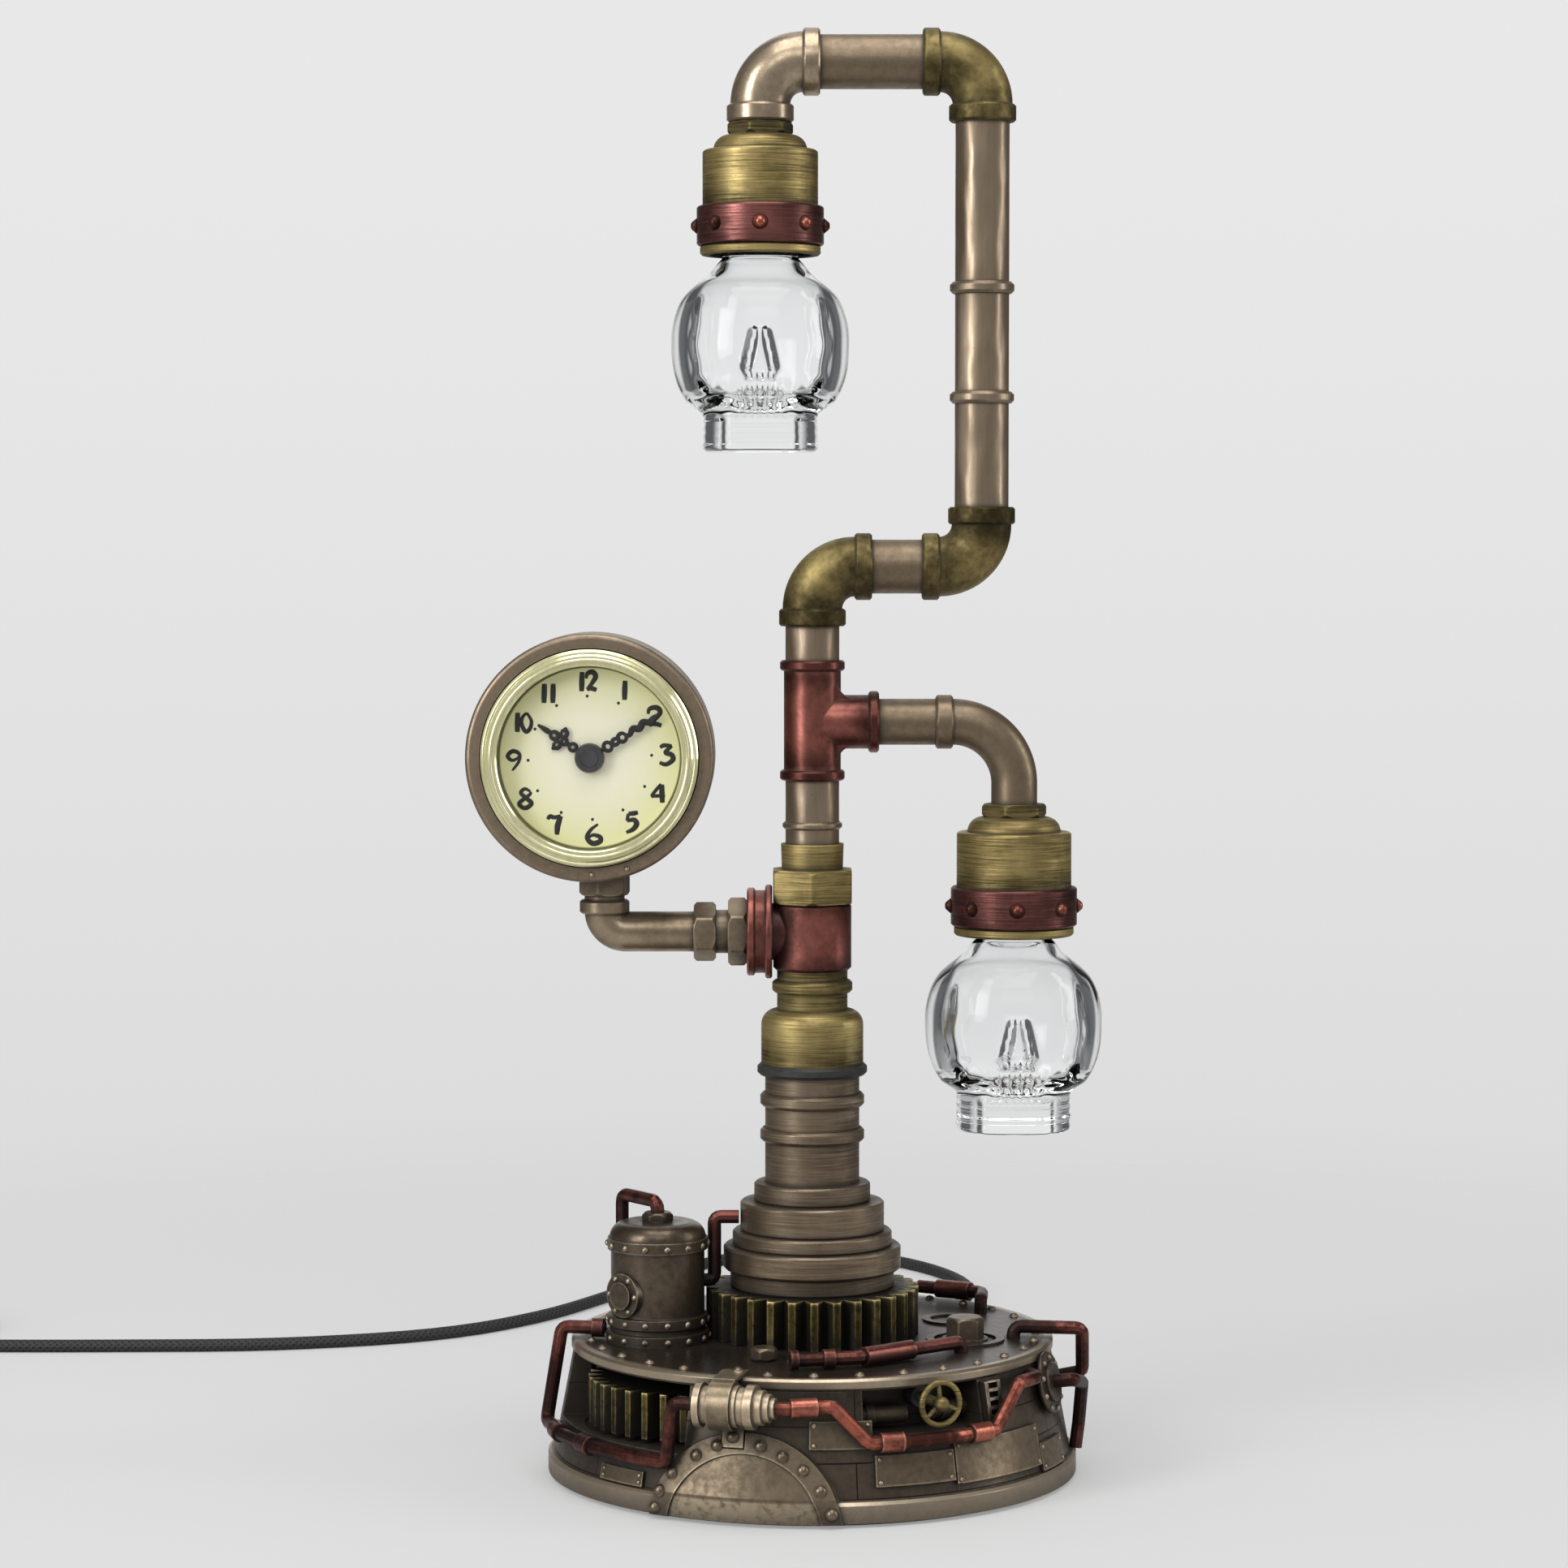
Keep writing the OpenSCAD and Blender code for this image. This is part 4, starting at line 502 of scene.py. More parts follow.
red_copper = aged_metal(
    "red_copper", (0.10, 0.034, 0.026), (0.48, 0.17, 0.135), (0.56, 0.24, 0.19), CAST, rough=0.38,
    brush=0.2, hollow=16.0, contrast=(0.26, 0.72), joints=COPPER_JOINTS_AND_SHADE)
band_copper = aged_metal(
    "band_copper", (0.07, 0.026, 0.024), (0.30, 0.115, 0.10), (0.48, 0.21, 0.17), ROUND_UPRIGHT,
    smooth=0.26, rough=0.42, brush=0.4, hollow=16.0, contrast=STREAKY, joints=BAND_JOINTS)
pipe_copper = aged_metal(
    "pipe_copper", (0.06, 0.018, 0.013), (0.42, 0.125, 0.084), (0.62, 0.26, 0.18), CAST, rough=0.38,
    hollow=16.0, brush=0.2, contrast=(0.42, 0.6), joints=PIPE_JOINTS)
burnt_copper = aged_metal(
    "burnt_copper", (0.03, 0.012, 0.010), (0.18, 0.055, 0.042), (0.44, 0.17, 0.13), CAST, rough=0.36,
    edges=0.5, hollow=16.0, brush=0.2, contrast=(0.42, 0.6))
print("finishes so far:", len(bpy.data.materials))

# %% [markdown]
# The castings of the base carry a glossier paint than the pipes, so the base looks wet beside the
# column. Its painted shade is a large ball over the deck, which blackens the wall just under the rim
# as the deck's shadow.

# %% Castings
# Painted shadow of the deck: a ball that darkens the wall under the deck's rim.
SHADE_UNDER_DECK = [(0, 0, 140, 126, 141)]
cast_dark = aged_metal(
    "cast_dark", (0.055, 0.042, 0.031), (0.16, 0.122, 0.088), (0.5, 0.41, 0.30), CAST, rough=0.36,
    hollow=18.0)
cast_wall = aged_metal(
    "cast_wall", (0.06, 0.045, 0.033), (0.165, 0.126, 0.09), (0.66, 0.54, 0.39), CAST, rough=0.36,
    hollow=24.0, bright=foot_ring, seams=plate_seams, joints=SHADE_UNDER_DECK)
cast_deck = aged_metal(
    "cast_deck", (0.036, 0.027, 0.022), (0.092, 0.069, 0.053), (0.44, 0.36, 0.26), CAST, rough=0.32,
    grit=0.35, bright=deck_rim)
arch_bronze = aged_metal(
    "arch_bronze", (0.085, 0.067, 0.046), (0.225, 0.176, 0.12), (0.55, 0.45, 0.31), CAST, smooth=0.3,
    contrast=(0.25, 0.75))
panel_bronze = aged_metal(
    "panel_bronze", (0.09, 0.068, 0.045), (0.24, 0.187, 0.125), (0.56, 0.46, 0.32), CAST,
    smooth=0.26, rough=0.42)
rivet_bronze = aged_metal(
    "rivet_bronze", (0.10, 0.078, 0.055), (0.24, 0.19, 0.135), (0.5, 0.41, 0.29), CAST, rough=0.36,
    hollow=4.0)
gear_brass = aged_metal(
    "gear_brass", (0.02, 0.016, 0.006), (0.10, 0.078, 0.023), (0.82, 0.67, 0.29), CAST, smooth=0.3,
    edges=1.0, reach=1.2, wash_and_shade_strength=1.0, hollow=9.0, contrast=STREAKY)
print("finishes so far:", len(bpy.data.materials))

# %% [markdown]
# ## Plain finishes
# Rubber, plastic, felt, enamel and gold are simpler. Each still has a little unevenness in its
# colour or gloss, because a perfectly even surface is what gives a computer picture away.

# %% Recipe for plain finishes


def even_finish(name, low, high, gloss, metal=0.0, scale=(260, 260, 260), bump=0.1):
    """Finish of one colour that drifts a little from low to high, with a fine grain."""
    made, shader, start = new_finish(name)
    drift = object_noise(start, scale)
    feed(drift.ramp(0.3, 0.7).between(rgb(*low), rgb(*high)), shader, "Base Color")
    feed(drift * 0.16 + (gloss - 0.08), shader, "Roughness")
    plain(shader, metallic=metal)
    emboss(drift, shader, bump, 0.2)
    return made


black_rubber = even_finish("black_rubber", (0.012, 0.012, 0.012), (0.026, 0.025, 0.024), 0.55)
black_plastic = even_finish("black_plastic", (0.014, 0.014, 0.015), (0.024, 0.024, 0.025), 0.42)
felt = even_finish(
    "felt", (0.014, 0.014, 0.014), (0.05, 0.05, 0.05), 0.9, scale=(1500, 1500, 1500), bump=0.7)
plain_steel = even_finish("plain_steel", (0.32, 0.33, 0.34), (0.42, 0.43, 0.44), 0.4, 1.0)
bezel_gold = even_finish(
    "bezel_gold", (0.76, 0.73, 0.42), (0.86, 0.83, 0.54), 0.16, 0.7, (900, 900, 40), 0.04)
ink_black = even_finish("ink_black", (0.006, 0.006, 0.006), (0.012, 0.012, 0.012), 0.5)
# The spindle cap's grey is a painted reflection of the lens that covers it.
cap_reflection_grey = even_finish("cap_reflection_grey", (0.028, 0.028, 0.030), (0.042, 0.042, 0.045), 0.4)
lamp_white = even_finish("lamp_white", (0.78, 0.76, 0.68), (0.83, 0.81, 0.74), 0.5)

# %% [markdown]
# The dial's cream has yellowed towards its rim, so its colour follows the distance from the spindle.
# A dark line painted where it goes under the gold rim is the rim's shadow on it.

# %% Yellowed dial
CLOCK = Vector((-68.1, 0, 222))
DIAL_Y, DIAL_EDGE = -12.3, 27.8
dial_cream, shader, start = new_finish("dial_cream")
spindle = (CLOCK.x, DIAL_Y, CLOCK.z)
fresh = near_point(start, spindle, 9, 30) * (object_noise(start, (30, 30, 30)) * 0.3 + 0.85)
cream = fresh.between(rgb(0.66, 0.66, 0.36), rgb(0.75, 0.73, 0.56))
# Painted shadow of the gold rim: a dark ring at the dial's edge.
clear = near_point(start, spindle, DIAL_EDGE - 0.6, DIAL_EDGE)
feed(clear.between(rgb(0.09, 0.09, 0.035), cream), shader, "Base Color")
plain(shader, roughness=0.55)

# %% [markdown]
# Glass is the shader's own work: full transmission, no roughness and the index of bottle glass.
# A very faint blue-green tint shows only where light crosses many walls, and a slow ripple bends
# what is seen through them, as in anything blown. The clock's lens is thin, so it lets most of the
# light straight through and the dial under it stays bright.

# %% Glass


def clear_glass(name, tint, index, ripple, solid=1.0):
    """Clear glass. Ripple is the height of its waves in millimetres, and solid is its alpha."""
    made, shader, start = new_finish(name)
    plain(shader, base_color=tint, roughness=0.0, transmission_weight=1.0, alpha=solid)
    plain(shader, specular_tint=rgb(0.2, 0.2, 0.2))
    shader.inputs["IOR"].default_value = index
    emboss(object_noise(start, (90, 90, 60), 1.0), shader, 1.0, ripple)
    return made


shade_glass = clear_glass("shade_glass", rgb(0.98, 0.992, 0.992), 1.5, 0.12)
lens_glass = clear_glass("lens_glass", rgb(1.0, 1.0, 1.0), 1.45, 0.02, solid=0.14)

# %% [markdown]
# The CAD nodes keep their shape and only change their finish. The cord, the shades and the hands
# aren't listed, because pieces made in this lesson take their places.

# %% Finishes of the CAD nodes
finish_of = {
    felt: ["felt_pad"],
    cast_dark: ["bottom_cover", "boiler_body", "boiler_lid", "boiler_hatch", "side_hatch",
                "ladder_bracket"],
    cast_wall: ["base_shell"],
    cast_deck: ["deck_plate"],
    arch_bronze: ["arch_plate"],
    panel_bronze: ["wall_panels", "valve_pipes", "deck_bolts"],
    plain_steel: ["ballast_plate"],
    black_plastic: ["led_driver", "rotary_switch", "clock_movement", "setting_knob", "cord_gland",
                    "plug"],
    gear_brass: ["side_gear", "top_gear"],
    pipe_copper: ["front_pipe"],
    burnt_copper: ["left_pipe", "side_pipes", "boiler_pipes", "deck_pipes"],
    bronze: ["column_nipples", "riser_pipe"],
    worn_bronze: ["arm_pipe", "arm_unions", "canister_strap"],
    polished_bronze: ["crown_elbow"],
    bright_bronze: ["canister"],
    satin_bronze: ["branch_elbow", "cross_pipes"],
    ring_bronze: ["clock_drum"],
    dark_bronze: ["column_foot", "column_tube"],
    old_brass: ["bell_coupling", "brass_nut", "upper_cup", "lower_cup", "hand_wheel"],
    elbow_brass: ["brass_elbows"],
    red_copper: ["lower_tee", "upper_tee"],
    band_copper: ["copper_bands"],
    black_rubber: ["seal_ring", "shade_galleries"],
    lamp_white: ["led_lamps"],
    bezel_gold: ["clock_bezel"],
    dial_cream: ["clock_dial"],
    lens_glass: ["clock_lens"],
}
for finish, names in finish_of.items():
    for name in names:
        nodes[name].data.materials.clear()
        nodes[name].data.materials.append(finish)
print("finished nodes:", sum(len(names) for names in finish_of.values()))

# %% [markdown]
# ## Rivets
# The base is dressed as riveted plate: domed heads stand on every rim, hatch and panel. One dome is
# modelled once and stamped wherever a rivet goes. A ray dropped on the CAD surface finds the spot
# and its slope, so a rivet always sits flat on its plate and no height is typed twice.

# %% A dome and a ray


def dome(radius, height):
    """Half a ball, flattened to a height, that sits on Z = 0."""
    made = bmesh.new()
    bmesh.ops.create_uvsphere(made, u_segments=12, v_segments=8, radius=radius * MM)
    ball = made.verts[:] + made.edges[:] + made.faces[:]
    bmesh.ops.bisect_plane(made, geom=ball, plane_co=(0, 0, 0), plane_no=(0, 0, 1), clear_inner=True)
    bmesh.ops.holes_fill(made, edges=[e for e in made.edges if e.is_boundary])
    bmesh.ops.scale(made, vec=(1, 1, height / radius), verts=made.verts)
    bmesh.ops.recalc_face_normals(made, faces=made.faces)
    return mesh_of(made, "rivet_shape")


def surface(*names):
    """A search tree of the faces of some CAD nodes."""
    joined = bmesh.new()
    for name in names:
        joined.from_mesh(nodes[name].data)
    tree = BVHTree.FromBMesh(joined)
    joined.free()
    return tree


def land(tree, start, toward):
    """Frame on the first face that a ray meets, with Z out of that face."""
    point, normal, _, _ = tree.ray_cast(Vector(start) * MM, Vector(toward).normalized())
    normal = -normal if normal.dot(Vector(toward)) > 0 else normal
    return Matrix.Translation(point) @ normal.to_track_quat("Z", "Y").to_matrix().to_4x4()


def stamp(shape, frames, name, finish):
    """Copies of one shape at many frames, as one piece on the stand."""
    made = bmesh.new()
    for place in frames:
        first = len(made.verts)
        made.from_mesh(shape)
        made.verts.ensure_lookup_table()
        bmesh.ops.transform(made, matrix=place, verts=made.verts[first:])
    print(name, len(frames))
    return keep(made, name, finish, "stand")


def rivets(head, frames, name):
    """Domed heads of a radius and a height at many frames."""
    stamp(dome(*head), frames, name, rivet_bronze)


def polar(radius, azimuth, z):
    """Point round the column's axis. Azimuth 0 is the front, and it grows to the right."""
    a = radians(azimuth)
    return Vector((radius * sin(a), -radius * cos(a), z))


# %% [markdown]
# The deck's rim carries an even ring of small heads. The arch at the front is bolted through its
# border with larger ones, and the strap of the canister ends in two ears with a rivet each.

# %% Rivets of the base
OUTSIDE, ABOVE = 130, 80
DOWN = Vector((0, 0, -1))
DECK_HEAD, ARCH_HEAD, EAR_HEAD = (1.45, 1.2), (1.9, 1.5), (1.9, 1.6)
DECK_RIVETS, DECK_RIVET_R = 32, 69.4
deck = surface("deck_plate")
over_rim = [polar(DECK_RIVET_R, 360 * k / DECK_RIVETS, ABOVE) for k in range(DECK_RIVETS)]
ring = [land(deck, spot, DOWN) for spot in over_rim]
rivets(DECK_HEAD, ring, "deck_rivets")

arch = surface("arch_plate")
arch_spots = [(-34.4, 3.4), (-33.2, 8.7), (-30.8, 13.9), (-25.7, 19.6), (-21.2, 22.9),
              (-11.5, 23.4), (-6.7, 20.6), (-2.3, 16.9), (1.3, 11.2), (3.6, 4.4)]
spots = [land(arch, polar(OUTSIDE, az, z), -polar(1, az, 0)) for az, z in arch_spots]
rivets(ARCH_HEAD, spots, "arch_rivets")

strap = surface("canister_strap")
TOP_EAR_R, TOP_EAR_AZ, LOW_EAR_AZ, LOW_EAR_Z = 71.5, -18.2, -17.7, 25.6
ears = [land(strap, polar(TOP_EAR_R, TOP_EAR_AZ, ABOVE), DOWN),
        land(strap, polar(OUTSIDE, LOW_EAR_AZ, LOW_EAR_Z), -polar(1, LOW_EAR_AZ, 0))]
rivets(EAR_HEAD, ears, "strap_rivets")

# %% [markdown]
# Panels have pin-sized heads in their corners. The side hatch and the boiler's hatch have a ring of
# them, set out round the hatch's own axis.

# %% Rivets of panels and hatches
panel_spans = [(-1, 12.8, 22.5, 30.5), (13.2, 31.6, 11.5, 20.5), (32, 59, 10.3, 22.5),
               (59.4, 71.5, 8.1, 16.3), (-52, -39, 8.1, 12.5)]
INSET_AZ, INSET_Z = 1.0, 1.2
PANEL_HEAD, HATCH_HEAD, STAND_OFF = (0.7, 0.5), (0.95, 0.8), 40
panels = surface("wall_panels")
corners = []
for left, right, low, high in panel_spans:
    for az in (left + INSET_AZ, right - INSET_AZ):
        for z in (low + INSET_Z, high - INSET_Z):
            corners.append(land(panels, polar(OUTSIDE, az, z), -polar(1, az, 0)))
rivets(PANEL_HEAD, corners, "panel_rivets")


def hatch_ring(tree, centre, axis, radius, count):
    """Frames round a hatch's axis, found from outside."""
    turn = axis.to_track_quat("Z", "Y").to_matrix()
    frames = []
    for k in range(count):
        a = 2 * pi * k / count
        off = turn @ Vector((radius * cos(a), radius * sin(a), 0))
        frames.append(land(tree, centre + axis * STAND_OFF + off, -axis))
    return frames


boiler_at, boiler_axis = Vector((-47.65, -11.44, 58)), polar(1, -44, 0)
BOILER_RING_R, BOILER_RING, SIDE_RING_R, SIDE_RING = 5.5, 6, 7.7, 9
boiler_ring = hatch_ring(surface("boiler_hatch"), boiler_at, boiler_axis, BOILER_RING_R, BOILER_RING)
HATCH_AZ, HATCH_Z = 69, 32.1
side_at, side_axis = polar(WALL_R, HATCH_AZ, HATCH_Z), polar(1, HATCH_AZ, 0)
side_ring = hatch_ring(surface("side_hatch"), side_at, side_axis, SIDE_RING_R, SIDE_RING)
rivets(HATCH_HEAD, boiler_ring + side_ring, "hatch_rivets")

# %% [markdown]
# The boiler has a row of heads round its foot, one just above the foot and one under its lid.

# %% Rivets of the boiler
boiler = surface("boiler_body", "boiler_lid")
BOILER_RIVETS, BOILER_ROWS, BOILER_HEAD = 14, (44.1, 49.2, 72.6), (1.05, 0.85)
rows = []
for z in BOILER_ROWS:
    for k in range(BOILER_RIVETS):
        out = polar(1, 360 * (k + 0.5) / BOILER_RIVETS, 0)
        spot = Vector((boiler_at.x, boiler_at.y, z)) + out * STAND_OFF
        rows.append(land(boiler, spot, -out))
rivets(BOILER_HEAD, rows, "boiler_rivets")

# %% [markdown]
# The copper bands round the lamp cups carry eight pointed studs each. A cone with a bevelled tip
# reads as a turned stud, where a dome would look like one more rivet.

# %% Studs of the lamp bands
STUD_R, STUD_TIP_R, STUD_H, STUD_MIDDLE, TIP_ROUND = 2.5, 0.9, 1.9, 0.85, 0.5
made = bmesh.new()
bmesh.ops.create_cone(made, cap_ends=True, segments=16, radius1=STUD_R * MM, radius2=STUD_TIP_R * MM,
                      depth=STUD_H * MM, matrix=Matrix.Translation((0, 0, STUD_MIDDLE * MM)))
tip = [e for e in made.edges if all(v.co.z > STUD_MIDDLE * MM for v in e.verts)]
bmesh.ops.bevel(made, geom=tip, offset=TIP_ROUND * MM, affect="EDGES", segments=3, profile=0.5,
                material=-1)
stud_shape = mesh_of(made, "stud_shape")
UPPER_RIM, LOWER_RIM = Vector((-16, 0, 375.5)), Vector((62.3, 0, 166.6))
BAND_MIDDLE, BAND_STUDS = 9, 8
bands = surface("copper_bands")
studs = []
for rim in (UPPER_RIM, LOWER_RIM):
    for k in range(BAND_STUDS):
        out = polar(1, 360 * k / BAND_STUDS, 0)
        studs.append(land(bands, rim + out * STAND_OFF + Vector((0, 0, BAND_MIDDLE)), -out))
stamp(stud_shape, studs, "band_studs", pipe_copper)

# %% [markdown]
# ## Skull glass
# The shades are blown into a mould, so they are thick, soft-edged and hollow to about three
# quarters of their depth. A lathe shape gives the outline and the hollow: a line of points is spun
# round the axis. The face is then pressed in by moving points, deepest at the nose and under the
# cheeks. A subdivided box sculpted by hand would work too, but a spun form keeps the wall even.

# %% Outline and relief of the glass
GLOBE_R, GLOBE_H, NECK_R, NECK_L, WALL, HOLLOW = 27.4, 60.0, 11.8, 11.0, 2.0, 45.6
WIDEST, CRANIUM_HALF, TOP_FULLNESS, LOW_FULLNESS = 0.43, 0.47, 1.9, 2.5
SHOULDER_IN, SHOULDER_AT, SHOULDER_WIDE = 2.8, 0.1, 0.075
JAW_SHARE, JAW_FLARE, JAW_FROM, JAW_BLEND = 0.6, 0.05, 0.75, 0.08


def ease(t):
    t = min(max(t, 0.0), 1.0)
    return t * t * (3 - 2 * t)


def hump(x, width):
    return exp(-(x / width) ** 2)


def outline(depth):
    """Radius of the turned form at a depth below the cup's rim."""
    s = depth / GLOBE_H
    fullness = TOP_FULLNESS if s < WIDEST else LOW_FULLNESS
    cranium = GLOBE_R * max(1 - (abs(s - WIDEST) / CRANIUM_HALF) ** fullness, 0) ** (1 / fullness)
    if s <= WIDEST:
        shoulder = SHOULDER_IN * hump(s - SHOULDER_AT, SHOULDER_WIDE)
        return max(NECK_R, cranium - shoulder) if s > 0 else NECK_R
    jaw = GLOBE_R * (JAW_SHARE + JAW_FLARE * s)
    return cranium + (jaw - cranium) * ease((s - JAW_FROM) / JAW_BLEND)


def corner(depth, azimuth):
    """How far the jaw's four corners stand out past a round at a depth and an azimuth."""
    grown = outline(depth) * 0.1 * ease((depth / GLOBE_H - 0.78) / 0.06)
    return grown * (1 - cos(radians(4 * azimuth))) / 2


def pressed(depth, azimuth):
    """How far the mould presses the glass in at a depth and an azimuth from the front.

    Pushes are in millimetres, angles in degrees, and s in parts of the globe's height.
    """
    s, a = depth / GLOBE_H, abs(azimuth)
    waver = 1.2 * sin(s * 30)
    beside = 1 - ease((abs(a - 41 - waver) - 4) / 6)
    temple = beside * ease((s - 0.2) / 0.1) * (1 - ease((s - 0.58) / 0.1))
    ear = 2.2 * hump(a - 43, 5) * hump(s - 0.66, 0.03)
    cheek = 3.4 * hump(a - 27, 10) * hump(s - 0.715, 0.06)
    nose_half = 3.5 + 30 * max(s - 0.40, 0)
    nose = 3.2 * hump(a - nose_half, 2.8) * ease((s - 0.37) / 0.04) * (1 - ease((s - 0.57) / 0.06))
    mouth = 1 - ease((a - 7 - 60 * (s - 0.56)) / 4)
    bite = ease((s - 0.56) / 0.05) * (1 - ease((s - 0.80) / 0.04)) * mouth
    teeth = 1.3 * bite * (1 + cos(radians(45 * a))) * (0.6 + 0.4 * cos(s * 100))
    jaw = 0.9 * hump(a - 40, 5) * ease((s - 0.80) / 0.05)
    ripple = 0.1 * ease((s - 0.82) / 0.04) * (1 + cos(depth * 2.2))
    return temple + ear + cheek + nose + teeth + jaw + ripple


# %% [markdown]
# The spun line runs down the outside from the neck, across the foot to the axis, and back up the
# inside of the hollow to the neck, so one spin closes the whole wall.

# %% Spin and press the shades
DOWN_STEPS, UP_STEPS, SPIN_STEPS, FLOOR_ROUND = 110, 50, 192, 5
FOOT_EDGE, FOOT_IN, FOOT_FLAT_R, FOOT_DISH = 0.8, 0.9, 9, 0.6
INNER_SHARE, LAST_STEP, OUTER_SKIN = 0.88, 6, 1.0


def hollow_at(depth):
    return NECK_R - WALL if depth < 0 else max(outline(depth) * INNER_SHARE - WALL, NECK_R - WALL)


def spun_line():
    """Radius and depth of each point of the line that is spun."""
    down = [-NECK_L + (GLOBE_H + NECK_L - FOOT_EDGE) * k / DOWN_STEPS for k in range(DOWN_STEPS + 1)]
    foot = [(outline(GLOBE_H) - FOOT_IN, GLOBE_H), (FOOT_FLAT_R, GLOBE_H - FOOT_DISH),
            (0, GLOBE_H - FOOT_DISH)]
    floor_r, floor_edge = hollow_at(HOLLOW - FLOOR_ROUND), HOLLOW - FLOOR_ROUND
    bowl = [(floor_r * sin(t), HOLLOW - FLOOR_ROUND * (1 - cos(t)))
            for t in (radians(30), radians(60))]
    up = [HOLLOW - (HOLLOW - LAST_STEP + NECK_L) * k / UP_STEPS for k in range(UP_STEPS + 1)]
    inside = [(hollow_at(d), d) for d in up if d < floor_edge] + [(NECK_R - WALL, -NECK_L)]
    return [(outline(d), d) for d in down] + foot + [(0, HOLLOW)] + bowl + inside


def skull_glass(name, rim, body):
    """A glass with its cup's rim at a place, in place of a body's plain shade."""
    made = bmesh.new()
    points = [made.verts.new((0, -r * MM, -d * MM)) for r, d in spun_line()]
    edges = [made.edges.new(pair) for pair in zip(points, points[1:])]
    edges.append(made.edges.new((points[-1], points[0])))
    bmesh.ops.spin(made, geom=points + edges, cent=(0, 0, 0), axis=(0, 0, 1), angle=2 * pi,
                   steps=SPIN_STEPS, use_merge=True)
    bmesh.ops.remove_doubles(made, verts=made.verts, dist=0.01 * MM)
    for vert in made.verts:
        depth, radius = -vert.co.z / MM, vert.co.xy.length / MM
        if depth > 0 and radius > outline(depth) - OUTER_SKIN:
            azimuth = degrees(atan2(vert.co.x, -vert.co.y))
            vert.co.xy *= (radius + corner(depth, azimuth) - pressed(depth, azimuth)) / radius
    bmesh.ops.recalc_face_normals(made, faces=made.faces)
    bmesh.ops.translate(made, vec=rim * MM, verts=made.verts)
    piece = keep(made, name, shade_glass, body)
    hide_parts(body)
    print(name, len(piece.data.polygons), "faces")


skull_glass("upper_skull_glass", UPPER_RIM, "upper_shade")
skull_glass("lower_skull_glass", LOWER_RIM, "lower_shade")

# %% [markdown]
# ## Dial
# The dial is printed card: twelve hand-drawn figures, each with a dot inside it, under a flat
# lens. A font would be quicker, but these figures swell and thin like pen strokes, so each is a pen
# path, swept as a tube whose radius follows the pen and then pressed almost flat.

# %% Pen strokes
PEN = {
    "0": [(0.3, 0.5, [(0.3, 1), (0.06, 0.75), (0.02, 0.4), (0.25, 0.02), (0.5, 0.2), (0.56, 0.6),
                      (0.3, 1)])],
    "1": [(0.5, 0.62, [(0.3, 1), (0.29, 0.66), (0.28, 0.33), (0.27, 0)])],
    "2": [(0.3, 0.62, [(0.04, 0.66), (0.1, 0.92), (0.4, 0.99), (0.56, 0.76), (0.34, 0.4),
                       (0.06, 0.1)]),
          (0.45, 0.55, [(0.06, 0.1), (0.3, 0.16), (0.62, 0.06)])],
    "3": [(0.34, 0.5, [(0.05, 0.86), (0.2, 0.98), (0.56, 0.96)]),
          (0.4, 0.62, [(0.56, 0.96), (0.28, 0.62), (0.54, 0.5), (0.6, 0.24), (0.3, 0), (0.02, 0.1)])],
    "4": [(0.3, 0.42, [(0.46, 0.98), (0.02, 0.34)]),
          (0.34, 0.42, [(0.02, 0.34), (0.3, 0.36), (0.64, 0.38)]),
          (0.5, 0.62, [(0.5, 0.95), (0.5, 0.5), (0.52, 0)])],
    "5": [(0.4, 0.55, [(0.62, 1.0), (0.4, 0.95), (0.2, 0.94)]),
          (0.34, 0.4, [(0.2, 0.94), (0.14, 0.56)]),
          (0.34, 0.64, [(0.14, 0.56), (0.44, 0.62), (0.56, 0.4), (0.4, 0.12), (0.1, -0.04)])],
    "6": [(0.26, 0.62, [(0.52, 1), (0.2, 0.7), (0.04, 0.3), (0.28, 0.0), (0.6, 0.1), (0.6, 0.34),
                        (0.3, 0.44), (0.12, 0.3)])],
    "7": [(0.4, 0.5, [(0.0, 0.8), (0.1, 0.96), (0.3, 0.9), (0.58, 0.98)]),
          (0.45, 0.68, [(0.58, 0.98), (0.44, 0.5), (0.4, 0)])],
    "8": [(0.3, 0.56, [(0.52, 0.85), (0.28, 1), (0.1, 0.8), (0.3, 0.54), (0.56, 0.25), (0.28, 0),
                       (0.02, 0.22), (0.26, 0.5), (0.5, 0.72), (0.52, 0.85)])],
    "9": [(0.26, 0.5, [(0.56, 0.72), (0.26, 0.52), (0.04, 0.74), (0.26, 1), (0.54, 0.86),
                       (0.52, 0.46), (0.24, 0)])],
}
PEN_STEPS, PEN_SIDES = 6, 8


def pen_stroke(made, points, thin, thick, depth, at=Vector((0, 0, 0))):
    """Adds one pen stroke in X and Z to a mesh, moved to a place. The pen swells in mid-stroke."""
    line = [p * MM for p in smooth_route([Vector((x, 0, z)) for x, z in points], PEN_STEPS)]
    last = len(line) - 1
    swell = [(thin + (thick - thin) * sin(pi * i / last)) * MM for i in range(last + 1)]
    stroke = sweep(line, swell, PEN_SIDES)
    bmesh.ops.scale(stroke, vec=(1, depth / thick, 1), verts=stroke.verts)
    bmesh.ops.translate(stroke, vec=at * MM, verts=stroke.verts)
    flat = mesh_of(stroke, "stroke")
    made.from_mesh(flat)
    bpy.data.meshes.remove(flat)


# %% [markdown]
# The figures stand upright round the dial, which sits a little askew in its ring.

